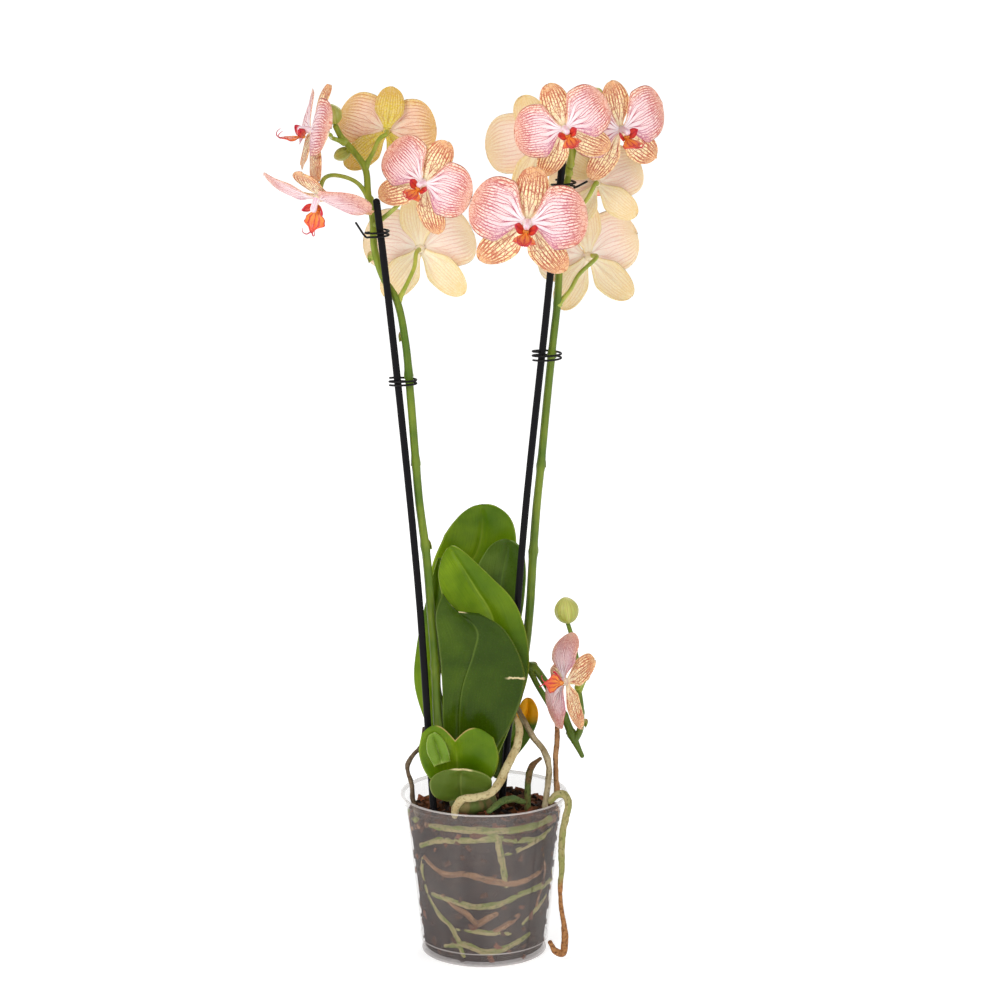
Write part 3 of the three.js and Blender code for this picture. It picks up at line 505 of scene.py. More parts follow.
# %% Make the flowers
rng = np.random.default_rng(11)
for key, flower in FLOWERS.items():
    piece = Piece()
    for shape, angle, lean in TEPALS:
        surface, notes = tepal(shape, angle, lean, rng.random(5))
        points, faces, sides, inside = skin(surface, PETAL_SKIN)
        kept = {name: noted(values, inside) for name, values in notes.items()}
        base = 0 if shape["width"] == PETAL["width"] else 2
        piece.add(stand(points, flower), faces, sides + base, kept)
    points, faces = rod([[0, 0, -5.5], [0, 0, -2.6], [0, 0, 0.2]], [1.9, 2.9, 3.4], 20, 10)
    piece.add(stand(points, flower), faces, [3] * len(faces))
    points, faces = rod([[0, 0, 0], [0, 0.4, 2.4], [0, 0.7, 5.2], [0, -0.2, 9]],
                        [3.4, 2.76, 2.19, 2.5], 20, 12)
    piece.add(stand(points, flower), faces, [4] * len(faces),
              {"up": points[:, 2] / 9, "across": points[:, 0] / 3})
    points, faces, _ = globe(np.array([0, -0.7, 9.2]), [1.9, 1.7, 1.6], (0, -0.5, 1), 20, 12, 2, 0.12)
    piece.add(stand(points, flower), faces, [4] * len(faces), {"up": points[:, 2] * 0 + 1})
    backs = [PETAL_GOLD, SEPAL_GOLD] if flower[3] == "gold" else [PETAL_BACK, SEPAL_BACK]
    made = piece.make("flower_" + key + "_petals", [PETAL_FRONT, backs[0], SEPAL_FRONT, backs[1], COLUMN])
    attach(made, "root")
    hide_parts("flower_" + key)
print("flower meshes:", len(FLOWERS), "with", len(made.data.polygons), "faces each")

# %% [markdown]
# The tongue of the lip is narrow at its throat, widest in the middle and pointed at the
# end. The side lobes curl up and inwards round the column. A knobbly callus sits where
# they meet. Each blade is a skin like the petals, a little thicker, and the two whiskers
# are thin bars that taper as they curl back.

# %% Make the lips


def tongue():
    up, across = grid(26, 16)
    half = 2.2 + 5.8 * smooth(0.08, 0.5, up) - 7.2 * smooth(0.6, 1, up) \
        + 0.5 * np.sin(up * 22) * smooth(0.2, 0.6, up)
    dip = 0.9 * np.exp(-((across / 0.16) ** 2)) * smooth(0, 0.3, up) * smooth(1, 0.6, up)
    curl = 0.7 * np.abs(across) ** 3 * np.sin(up * 9)
    return np.stack([across * half, -5.6 - 4.4 * up - across**2 - dip + curl,
                     6.5 + 17.5 * up - 0.8 * across**2], -1), up, across


def lobe(side):
    up, across = grid(20, 12)
    half = 4.4 * np.maximum(0.2, np.sin(math.pi * (0.16 + 0.8 * up)))
    bend = side * (1.6 + 6.4 * np.sin(up * 1.5)) - side * 1.6 * across**2 * up
    points = np.stack([bend, -4.8 + 5.4 * up + 0.75 * across * half,
                       5.4 + 6.8 * up - 0.4 * across * half], -1)
    return (points[:, ::-1] if side > 0 else points), up, across


for key, flower in FLOWERS.items():
    piece = Piece()
    for finish, thick, (surface, up, across) in ((0, 1.0, tongue()), (1, 0.8, lobe(1)), (1, 0.8, lobe(-1))):
        points, faces, _, inside = skin(surface, thick, 0.3)
        notes = {"up": noted(up, inside), "across": noted(across, inside)}
        piece.add(stand(points, flower), faces, [finish] * len(faces), notes)
    for centre, size in (([0, -5.0, 6.2], [2.5, 1.9, 2.6]), ([1.1, -4.1, 8.2], [1.0, 0.9, 1.3]),
                         ([-1.1, -4.1, 8.2], [1.0, 0.9, 1.3])):
        points, faces, _ = globe(np.array(centre), size, (0, 0.4, 1), 18, 12, 3, 0.15)
        piece.add(stand(points, flower), faces, [2] * len(faces), {"across": points[:, 0] / 3})
    for side in (1, -1):
        whisker = np.array([[0.5, -9.8, 23.2], [2.6, -9, 25.6], [4.6, -6.2, 25.4],
                            [4.8, -3.6, 23.4]]) * [side, 1, 1]
        points, faces = rod(whisker, [0.5, 0.42, 0.32, 0.2], 8, 12)
        piece.add(stand(points, flower), faces, [1] * len(faces), {"up": points[:, 0] * 0 + 1})
    made = piece.make("lip_" + key + "_blades", [TONGUE, LOBE, CALLUS])
    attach(made, "root")
    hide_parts("lip_" + key)
print("lips made:", len(FLOWERS), "with", len(made.data.polygons), "faces each")

# %% [markdown]
# Stems, canes, wires and roots all follow a path. One node tree turns a drawn line into a
# round bar whose thickness is stored on the line's points, wrinkles it with seeded noise
# and gives it a finish. The tree stores how far along and how far round each point is, so
# that bark rings and stripes can follow the bar even where it bends.

# %% A node tree for round bars along a path


def sweep_tree():
    tree = bpy.data.node_groups.new("bar along a path", "GeometryNodeTree")
    face = tree.interface
    for label, kind in (("Line", "Geometry"), ("Sides", "Int"), ("Wrinkle height", "Float"),
                        ("Wrinkle count", "Float"), ("Seed", "Float"), ("Finish", "Material")):
        face.new_socket(label, in_out="INPUT", socket_type="NodeSocket" + kind)
    face.new_socket("Bar", in_out="OUTPUT", socket_type="NodeSocketGeometry")
    new, link = tree.nodes.new, tree.links.new
    given, result = new("NodeGroupInput"), new("NodeGroupOutput")
    curve, bar = new("GeometryNodeMeshToCurve"), new("GeometryNodeCurveToMesh")
    link(given.outputs["Line"], curve.inputs[0])
    thick = new("GeometryNodeInputNamedAttribute")
    thick.data_type = "FLOAT"
    thick.inputs["Name"].default_value = "thickness"
    ring, bead = new("GeometryNodeCurvePrimitiveCircle"), new("GeometryNodeSplineParameter")
    link(given.outputs["Sides"], ring.inputs["Resolution"])
    ring.inputs["Radius"].default_value = 1.0
    lines = []
    for source, label, output in ((curve, "along", "Length"), (ring, "around", "Factor")):
        store = new("GeometryNodeStoreNamedAttribute")
        store.data_type, store.domain = "FLOAT", "POINT"
        store.inputs["Name"].default_value = label
        link(source.outputs[0], store.inputs["Geometry"])
        link(bead.outputs[output], store.inputs["Value"])
        lines.append(store)
    link(lines[0].outputs[0], bar.inputs["Curve"])
    link(lines[1].outputs[0], bar.inputs["Profile Curve"])
    link(thick.outputs["Attribute"], bar.inputs["Scale"])
    bar.inputs["Fill Caps"].default_value = True
    noise, centred = new("ShaderNodeTexNoise"), new("ShaderNodeMath")
    noise.noise_dimensions = "4D"
    link(new("GeometryNodeInputPosition").outputs[0], noise.inputs["Vector"])
    link(given.outputs["Seed"], noise.inputs["W"])
    link(given.outputs["Wrinkle count"], noise.inputs["Scale"])
    centred.operation = "SUBTRACT"
    link(noise.outputs[0], centred.inputs[0])
    centred.inputs[1].default_value = 0.5
    high = new("ShaderNodeMath")
    high.operation = "MULTIPLY"
    link(centred.outputs[0], high.inputs[0])
    link(given.outputs["Wrinkle height"], high.inputs[1])
    push = new("ShaderNodeVectorMath")
    push.operation = "SCALE"
    link(new("GeometryNodeInputNormal").outputs[0], push.inputs[0])
    link(high.outputs[0], push.inputs["Scale"])
    move, soft = new("GeometryNodeSetPosition"), new("GeometryNodeSetShadeSmooth")
    link(bar.outputs[0], move.inputs["Geometry"])
    link(push.outputs[0], move.inputs["Offset"])
    link(move.outputs[0], soft.inputs["Geometry"])
    real, coat = new("GeometryNodeRealizeInstances"), new("GeometryNodeSetMaterial")
    link(soft.outputs[0], real.inputs[0])
    link(real.outputs[0], coat.inputs["Geometry"])
    link(given.outputs["Finish"], coat.inputs["Material"])
    link(coat.outputs[0], result.inputs[0])
    return tree


SWEEP = sweep_tree()


def grown(name, mesh, tree, settings):
    """A plain mesh from a node tree on a starting mesh, with settings by input name."""
    made = bpy.data.objects.new(name, mesh)
    bpy.context.scene.collection.objects.link(made)
    modifier = made.modifiers.new("grow", "NODES")
    modifier.node_group = tree
    for item in tree.interface.items_tree:
        if item.in_out == "INPUT" and item.name in settings:
            modifier[item.identifier] = settings[item.name]
    evaluated = made.evaluated_get(bpy.context.evaluated_depsgraph_get())
    plain = bpy.data.meshes.new_from_object(evaluated)
    made.modifiers.clear()
    made.data = plain
    plain.name = name
    plain.validate()
    return made


def drawn(name, strands):
    """A mesh of lines from (points in mm, radii in mm), each closed by a small dome at both ends."""
    points, sizes, edges = [], [], []
    for middle, size in strands:
        ahead, behind = unit(middle[-1] - middle[-2]), unit(middle[0] - middle[1])
        caps = [(math.sin(a), math.cos(a)) for a in (1.45, 1.1, 0.7, 0.35)]
        middle = np.vstack([[middle[0] + behind * size[0] * s for s, _ in caps], middle,
                            [middle[-1] + ahead * size[-1] * s for s, _ in caps[::-1]]])
        size = np.concatenate([[size[0] * c for _, c in caps], size, [size[-1] * c for _, c in caps[::-1]]])
        first = len(points)
        points += (middle * MM).tolist()
        sizes += (size * MM).tolist()
        edges += [(k, k + 1) for k in range(first, len(points) - 1)]
    mesh = bpy.data.meshes.new(name)
    mesh.from_pydata(points, edges, [])
    mesh.attributes.new("thickness", "FLOAT", "POINT").data.foreach_set("value", sizes)
    return mesh


def strand(route, radii, steps, swellings=()):
    """A smooth line through a route, thicker near each (place, extra radius, reach)."""
    t = np.linspace(0, 1, steps)
    middle, size = path(route, t), along(radii, t)
    for place, extra, reach in swellings:
        size = size + extra * np.exp(-((np.linalg.norm(middle - np.asarray(place), axis=1) / reach) ** 2))
    return middle, size


def bars(name, strands, finish, node=None, sides=20, height=0.0, count=200.0, seed=1.0):
    """Round bars along strands, as one finished piece."""
    settings = {"Sides": sides, "Wrinkle height": height, "Wrinkle count": count, "Seed": seed,
                "Finish": finish.material}
    made = grown(name, drawn(name, strands), SWEEP, settings)
    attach(made, "root")
    if node:
        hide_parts(node)
    return made


print("inputs of the tree:", [item.name for item in SWEEP.interface.items_tree])

# %% [markdown]
# Each spike is tied to a thin black cane, a plastic-coated rod that is pushed into the bark.
# The wire clips are single wires wound round cane and stem. Both are bars along a path,
# the cane with almost no wrinkle and the wire with none.

# %% Canes and wire clips
CANE = Finish("cane_coating", {"Roughness": 0.45, "Specular IOR Level": 0.12})
streaks = CANE.noise(CANE.stretched((900, 900, 30)), 1.0)
CANE.colour(CANE.blend(streaks, paint("060508"), paint("121014")))
CANE.rough(CANE.step(streaks, 0.3, 0.7, 0.4, 0.55))
CANE.bump(streaks, 0.25, 0.0002)
WIRE = Finish("clip_wire", {"Roughness": 0.5, "Specular IOR Level": 0.15})
speck = WIRE.noise(WIRE.place(), 700.0)
WIRE.colour(WIRE.blend(speck, paint("070607"), paint("1c1a1c")))
WIRE.bump(speck, 0.2, 0.0002)

CANES = {
    "cane_left": [[-29, -23, 34], [-36, -22, 116], [-45, -19, 260], [-58, -15, 401], [-66, -13, 477],
                  [-73, -13, 538]],
    "cane_right": [[5, 0, 34], [14, -1, 124], [19, -2, 182], [24, 0, 255], [30, 1, 328], [43, -2, 455],
                   [46, -3, 486], [55, -3, 571]],
}
for name, route in CANES.items():
    bars(name + "_rod", [strand(route, [2.5, 2.5], 60)], CANE, name, 28, 0.00025, 120.0)

CLIPS = {
    "clip_left_high": ([-73, -9.5, 516], 8.0, 9.4, 1.6, 2.6, [-14, -8, 8], -0.9),
    "clip_left_low": ([-55.7, -14, 414], 9.4, 6.0, 1.9, 2.4, None, -0.9),
    "clip_right_low": ([44, 3.2, 430], 10, 9.2, 2.1, 3.0, None, -0.9),
    "clip_right_high": ([55, 1, 549], 8.2, 9.8, 1.4, 3.2, [16, -4, 2], -0.1),
}
for name, (centre, wide, deep, turns, pitch, lead, first) in CLIPS.items():
    t = np.arange(round(turns * 10) + 1) / 10
    a = t * 2 * math.pi + math.pi * first
    coil = np.array(centre) + np.stack([wide * np.cos(a), deep * np.sin(a), (t - turns / 2) * pitch], -1)
    route = np.vstack([[np.array(centre) + lead], coil]) if lead else coil
    bars(name + "_wire", [strand(route, [0.75, 0.75], 90)], WIRE, name, 12)
print("canes and clips made")

# %% [markdown]
# A flower spike is a green stem with a swollen ring and a small dry scale at every node,
# and a thinner stalk for each flower. The stalks join the stem with a slight flare. The
# stems of a spike are lines of one drawing and its stalks of another, so two runs of the
# tree grow its stems and stalks.

# %% Stem finish
STEM = Finish("stem_green", {"Roughness": 0.42, "Specular IOR Level": 0.3, "Coat Weight": 0.1,
                             "Coat Roughness": 0.3,
                             "Subsurface Weight": 0.08, "Subsurface Scale": 0.003})
fibres = STEM.noise(STEM.stretched((500, 500, 22)), 1.0)
clouds = STEM.noise(STEM.place(), 38.0)
height = STEM.node("ShaderNodeSeparateXYZ", {0: STEM.place()}, 2)
green = STEM.blend(STEM.step(clouds, 0.3, 0.7), paint("4f6c0c"), paint("76881f"))
green = STEM.blend(STEM.step(height, 0.44, 0.56), green, paint("8f9c2c"))
green = STEM.blend(STEM.step(height, 0.22, 0.12), green, paint("52671a"))
STEM.colour(STEM.blend(STEM.step(fibres, 0.35, 0.75, 0.0, 0.4), green, paint("3a5208")))
STEM.bump(fibres, 0.3, 0.0003)
STALK = Finish("stalk_green", {"Roughness": 0.4, "Coat Weight": 0.2, "Coat Roughness": 0.25,
                               "Subsurface Weight": 0.1, "Subsurface Scale": 0.003})
fibres = STALK.noise(STALK.stretched((420, 420, 60)), 1.0)
green = STALK.blend(STALK.step(STALK.noise(STALK.place(), 60.0), 0.3, 0.7), paint("8b9c22"), paint("b8bb4c"))
STALK.colour(STALK.blend(STALK.step(fibres, 0.35, 0.8, 0.0, 0.35), green, paint("6f8a20")))
STALK.bump(fibres, 0.25, 0.0003)
SCALE = Finish("node_scale", {"Roughness": 0.6, "Subsurface Weight": 0.1, "Subsurface Scale": 0.002})
dry = SCALE.noise(SCALE.place(), 160.0)
pale = SCALE.blend(SCALE.step(SCALE.note("up"), 0.3, 1.0), paint("a3b64a"), paint("b39a62"))
SCALE.colour(SCALE.blend(SCALE.step(dry, 0.5, 0.75), pale, paint("8a7a44")))
SCALE.bump(SCALE.math("SINE", SCALE.math("MULTIPLY", SCALE.note("across"), 26.0)), 0.3, 0.0002)
print("stem finishes made")

# %% [markdown]
# The tables give each spike's route, its nodes as place, axis and radius, its scales, and
# the stalk of each flower as the points between the stem and the back of the flower.

# %% The three spikes
SPIKES = {
    "spike_left": {
        "stems": [([[-22, -21, 128], [-29.5, -21.5, 150], [-32.5, -18, 175], [-34, -15, 212],
                    [-37, -13, 252], [-40, -12, 290], [-45, -12, 330], [-47.5, -13, 362],
                    [-50.5, -13, 403], [-54, -11, 442], [-60, -8, 470], [-69, -6, 485], [-75, -6, 505],
                    [-76, -6, 526], [-79, -5, 542], [-81, -4, 560], [-90, -3, 573], [-97, -3, 581],
                    [-101, -3, 588.5]],
                   [3.4, 3.3, 3.2, 3.0, 2.9, 2.8, 2.6, 2.5, 2.4, 2.3, 2.2, 2.0], 150)],
        "nodes": [([-34, -15, 212], [0, 0, 1], 3.9), ([-40, -12, 297], [-1, 0, 8], 3.6),
                  ([-47.3, -13, 357], [-0.5, 0, 8], 3.4), ([-52, -12.5, 419], [-1, 0, 6], 3.3)],
        "scales": [([-55.5, -12, 444], [-1, -0.6, 3], 9), ([-76.5, -8, 498], [-1, -1, 2.5], 9)],
        "stalks": {"l4": [[-59, -7, 469], [-53, 0, 480], [-48, 8, 491]],
                   "l3": [[-74.5, -6, 522], [-64, -4, 530], [-50, -4, 543]],
                   "l5": [[-78, -4, 539], [-86, -6, 550], [-96, -10, 555]],
                   "l2": [[-81, -3, 561], [-76, 0, 570], [-71, 6, 580]],
                   "l1": [[-95, -3, 578], [-103, -8, 581]]},
        "buds": {"bud_left_small": [-91, -2, 574]},
    },
    "spike_right": {
        "stems": [([[9, 10, 127], [14, 13, 145], [20, 15, 170], [28, 15.5, 207], [32, 13, 240],
                    [35, 11, 290], [37, 10, 319], [40, 9, 350], [43, 8, 384], [46, 7, 416],
                    [48.5, 6, 441], [51, 6, 464], [52, 6, 482], [53, 6, 510], [55, 6, 534],
                    [58, 6, 551], [61, 7, 567], [65, 8, 583], [69, 9, 596], [72, 10, 602]],
                   [3.3, 3.2, 3.1, 3.0, 2.9, 2.8, 2.7, 2.6, 2.4, 2.2, 2.0, 1.8], 150)],
        "nodes": [([35, 11, 290], [0.5, 0, 8], 3.6), ([40.3, 9, 352], [0.6, 0, 8], 3.5),
                  ([47.5, 6.3, 430], [0.6, 0, 8], 3.3), ([51.5, 6, 466], [0.4, 0, 8], 3.1)],
        "scales": [([52, 8.5, 500], [0.5, 0.6, 3], 8)],
        "stalks": {"r6": [[51.5, 6, 465], [60, 12, 474], [66, 18, 484]],
                   "r3": [[52.5, 6, 506], [45, 8, 512], [37, 1, 519]],
                   "r5": [[55, 6, 533], [63, 12, 530], [71, 17, 536]],
                   "r1": [[60, 6, 562], [60, 2, 578]],
                   "r4": [[59, 6, 556], [52, 8, 566], [45, 12, 572]],
                   "r2": [[65, 8, 582], [74, 6, 586]]},
        "buds": {},
    },
    "spike_side": {
        "stems": [([[9, 3, 128], [15, 5, 150], [21, 6, 178], [27, 7, 199], [33.5, 8, 206],
                    [42, 11, 196], [49, 11, 184], [56, 8, 172], [63, 5, 156], [70, 3, 141.5]],
                   [3.0, 3.0, 2.9, 2.9, 2.8, 2.8, 2.7, 2.8, 2.9, 1.6], 80),
                  ([[64.5, 4.5, 152], [68.5, 3, 161], [69, 2, 176], [67, 3, 192], [66, 4, 210],
                    [63, 4, 226], [59.4, 4, 238.5]], [2.5, 2.4, 2.3, 2.0, 1.7, 1.6], 60),
                  ([[33, 7, 203], [38, 5, 193], [45, 2, 182], [51, -1, 172]], [2.2, 2.0, 2.1, 2.5], 30)],
        "nodes": [([33.5, 8, 205.5], [1, 0, 0.2], 3.6), ([62.5, 5, 157], [1, 0, -2], 3.6),
                  ([66.3, 4, 203], [0, 0, 1], 2.4), ([57, 7.5, 169.5], [1, 0, -2], 3.3),
                  ([69, 2.2, 174], [0, 0, 1], 2.6)],
        "scales": [([71, 2.5, 165], [1, -0.4, 1.6], 7)],
        "stalks": {"s1": [[67, 3, 192], [69, -5, 197]]},
        "buds": {"bud_side_small": [68.5, 2, 190]},
    },
}
BUDS = {
    "bud_left_tip": ([-103, -4, 597], [6.6, 6.4, 7.2], [-0.3, 0, 1]),
    "bud_left_small": ([-97, 2, 569.5], [4.6, 4.4, 6.4], [-1, 0.2, -0.5]),
    "bud_right_top": ([76, 12, 607.5], [6.4, 6.2, 7.6], [0.6, 0, 0.8]),
    "bud_side_top": ([58.5, 4, 247.8], [8.7, 8.5, 9.6], [-0.15, 0, 1]),
    "bud_side_small": ([72.8, 0, 200.5], [2.6, 2.6, 4.0], [0.4, -0.5, 0.8]),
}


def behind(key, distance):
    """The place behind a flower's base."""
    at, turn, size, _ = FLOWERS[key]
    return np.asarray(at) - facing(turn)[2] * distance * size


def node_scale(at, axis, size, reach=1.7):
    """A small dry scale that wraps part of a stem and ends in a point."""
    up, across = grid(12, 12)
    ahead = unit(np.asarray(axis, float))
    side = unit(np.cross(ahead, [0.1, 1, 0]))
    out = np.cross(side, ahead)
    turn = across * reach * (1 - up) ** 0.6 + math.pi / 2
    wide = size * (1 + 0.3 * up**2)
    radial = np.cos(turn)[..., None] * side + np.sin(turn)[..., None] * out
    surface = np.asarray(at) + ahead * ((up - 0.35) * size * 2.1)[..., None] + radial * wide[..., None]
    return surface, up, across


for name, spike in SPIKES.items():
    swellings = [(at, (radius - 2.8) * 0.9, 2.4) for at, _, radius in spike["nodes"]]
    bars(name + "_stem", [strand(*stem, swellings) for stem in spike["stems"]], STEM, name,
         24, 0.0003, 90.0)
    stalks = []
    for key, route in spike["stalks"].items():
        whole = route + [behind(key, 14), behind(key, 1.5)]
        stalks.append(strand(whole, [2.0, 1.5, 1.45, 1.5, 1.9], 40, [(route[0], 0.9, 3.0)]))
    for key, start in spike["buds"].items():
        stalks.append(strand([start, BUDS[key][0]], [1.6, 1.2, 1.5], 16))
    bars(name + "_stalks", stalks, STALK, None, 18, 0.0002, 150.0)
    piece = Piece()
    for at, axis, size in [(at, axis, radius * 0.98) for at, axis, radius in spike["nodes"]] + \
            [(at, axis, size * 0.36) for at, axis, size in spike["scales"]]:
        surface, up, across = node_scale(at, axis, size)
        points, faces, _, inside = skin(surface, 0.5)
        piece.add(points, faces, [0] * len(faces), {"up": noted(up, inside), "across": noted(across, inside)})
    made = piece.make(name + "_scales", [SCALE])
    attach(made, "root")
print("spikes made:", list(SPIKES))

# %% [markdown]
# A bud is five sepals and petals folded tightly together. Its seams show as shallow
# grooves from base to tip, with a faint blush on the ribs. A globe with grooves gives it.

# %% Buds


def bud_finish(name, light, dark, blush):
    f = Finish(name, {"Roughness": 0.42, "Coat Weight": 0.15, "Coat Roughness": 0.3,
                      "Subsurface Weight": 0.12, "Subsurface Scale": 0.003})
    turn, lift = f.note("turn"), f.note("lift")
    rib = f.math("ABSOLUTE", f.math("COSINE", f.math("MULTIPLY", turn, 2.5)))
    lines = f.math("SINE", f.math("MULTIPLY_ADD", f.noise(f.place(), 120.0), 3.0,
                                  f.math("MULTIPLY", turn, 20.0)))
    ground = f.blend(f.step(lift, 0.3, 2.6), paint(dark), paint(light))
    ground = f.blend(f.step(rib, 0.9, 1.0, 0.0, 0.7), ground, paint(dark))
    f.colour(f.blend(f.step(lines, 0.4, 1.0, 0.0, 0.3), ground, paint(blush)))
    f.bump(lines, 0.2, 0.0003)
    return f


BUD = bud_finish("bud_green", "9aa035", "c2c267", "8a5a2c")
BUD_PALE = bud_finish("bud_pale", "c9a880", "d8cc9a", "a0693c")
for name, (at, size, axis) in BUDS.items():
    piece = Piece()
    points, faces, (lift, turn) = globe(np.array(at), size, axis, 60, 30, 5, 0.07, 0.22)
    piece.add(points, faces, [0] * len(faces), {"lift": lift, "turn": turn})
    small = name == "bud_side_small"
    made = piece.make(name + "_folded", [BUD_PALE if small else BUD])
    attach(made, "root")
    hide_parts(name)
print("buds made:", list(BUDS))

# %% [markdown]
# Moth orchid leaves are thick, waxy and a little leathery. Each has one groove down the
# middle, fine lines that run lengthwise, and a paler margin. The blade is a skin between
# two margins of its own width, left and right of a smooth rib. Wax is a clear coat over a
# mottled green; the olive leaf also has a dry scar, and the old leaf has turned orange.
# The right half of each blade has painted shade, and a pale line along the groove is a
# painted highlight.

# %% Leaf finishes


def leaf_finish(name, light, dark, rib, gloss=0.3):
    f = Finish(name, {"Coat Weight": 0.04, "Coat Roughness": 0.22, "Subsurface Weight": 0.05,
                      "Subsurface Scale": 0.003, "Specular IOR Level": 0.14})
    up, across, half = f.note("up"), f.note("across"), f.note("half")
    sideways = f.math("MULTIPLY", across, half)
    lines = f.noise(f.vector(f.math("MULTIPLY", sideways, 1.6), f.math("MULTIPLY", up, 5.0), 0.0), 1.0)
    clouds = f.noise(f.place(), 34.0)
    grain = f.noise(f.place(), 700.0, 2.0)
    f.shades = f.blend(f.step(clouds, 0.25, 0.75), paint(dark), paint(light))
    f.shades = f.blend(f.step(lines, 0.35, 0.75, 0.0, 0.38), f.shades, paint(dark))
    # Painted shade: the right half of every blade is darkened where it would face away from the light.
    f.shades = f.blend(f.step(across, -0.15, 0.25, 0.0, 0.5), f.shades, paint(dark))
    # Painted highlight: a paler line along the groove, strongest low on the blade and gone at the tip.
    middle = f.step(f.math("ABSOLUTE", sideways), 0.3, 1.4, 0.35, 0.0)
    f.shades = f.blend(f.math("MULTIPLY", middle, f.step(up, 0.96, 0.6)), f.shades, paint(rib))
    f.shades = f.blend(f.step(f.math("ABSOLUTE", across), 0.94, 1.0, 0.0, 0.6), f.shades, paint(rib))
    f.shades = f.blend(f.step(up, 0.12, 0.0, 0.0, 0.6), f.shades, paint("9fae5a"))
    f.rough(f.step(grain, 0.2, 0.8, gloss - 0.05, gloss + 0.12))
    f.bump(f.math("MULTIPLY_ADD", grain, 0.35, lines), 0.22, 0.0004)
    f.colour(f.shades)
    return f


def corners(f):
    """The three object coordinates of a finish, in metres."""
    spot = f.place()
    return [f.node("ShaderNodeSeparateXYZ", {0: spot}, k) for k in range(3)]


LEAF = leaf_finish("leaf_green", "7e9a12", "446402", "9db03e")
LEAF_DARK = leaf_finish("leaf_dark", "667e32", "3c560e", "86a050", 0.28)
LEAF_OLIVE = leaf_finish("leaf_olive", "48600a", "2a4000", "748a38", 0.2)
x, _, z = corners(LEAF_OLIVE)
ragged = LEAF_OLIVE.math("MULTIPLY_ADD", LEAF_OLIVE.noise(LEAF_OLIVE.place(), 260.0), 0.003, z)
scar = LEAF_OLIVE.step(LEAF_OLIVE.math("ABSOLUTE", LEAF_OLIVE.math("SUBTRACT", ragged, 0.2068)),
                       0.0003, 0.0011, 1.0, 0.0)
scar = LEAF_OLIVE.math("MULTIPLY", scar, LEAF_OLIVE.step(x, 0.014, 0.019))
torn = LEAF_OLIVE.math("ABSOLUTE", LEAF_OLIVE.note("across"))
dry = LEAF_OLIVE.math("MULTIPLY", LEAF_OLIVE.step(torn, 0.5, 0.25),
                      LEAF_OLIVE.step(LEAF_OLIVE.note("up"), 0.975, 0.99))
LEAF_OLIVE.colour(LEAF_OLIVE.blend(LEAF_OLIVE.math("MAXIMUM", scar, dry), LEAF_OLIVE.shades, paint("d8c79a")))
LEAF_CUT = leaf_finish("leaf_cut", "6c7c34", "4c6018", "8f9a50", 0.34)
healed = LEAF_CUT.step(LEAF_CUT.note("up"), 0.955, 0.985)
LEAF_CUT.colour(LEAF_CUT.blend(healed, LEAF_CUT.shades, paint("cdbf8c")))
LEAF_SPLIT = leaf_finish("leaf_split", "7e9a12", "446402", "9db03e")
parted = LEAF_SPLIT.math("ABSOLUTE", LEAF_SPLIT.note("across"))
healed = LEAF_SPLIT.math("MULTIPLY", LEAF_SPLIT.step(parted, 0.6, 0.4),
                         LEAF_SPLIT.step(LEAF_SPLIT.note("up"), 0.978, 0.992))
LEAF_SPLIT.colour(LEAF_SPLIT.blend(healed, LEAF_SPLIT.shades, paint("b09a5c")))
LEAF_FLAP = leaf_finish("leaf_flap", "84a03c", "668624", "a6ba6a", 0.26)
LEAF_OLD = leaf_finish("leaf_old", "5f7c10", "3f5d08", "7f9334", 0.35)
_, _, z = corners(LEAF_OLD)
ragged = LEAF_OLD.math("MULTIPLY_ADD", LEAF_OLD.noise(LEAF_OLD.place(), 90.0), 0.008, z)
ochre = LEAF_OLD.blend(LEAF_OLD.step(LEAF_OLD.noise(LEAF_OLD.place(), 150.0), 0.45, 0.75),
                       paint("f4aa08"), paint("dd9008"))
LEAF_OLD.colour(LEAF_OLD.blend(LEAF_OLD.step(ragged, 0.163, 0.171), LEAF_OLD.shades, ochre))
print("leaf finishes made")

# %% [markdown]
# The tables hold each leaf's rib, its half widths to the left and right, the way it faces
# in degrees, how far its margins stand forward, how far they rise above the tip where the
# top was cut, and how blunt the tip is. Two split leaves name the routes of their margins
# instead, and 0 for the bluntness. The groove is pressed into the blade, not only painted.

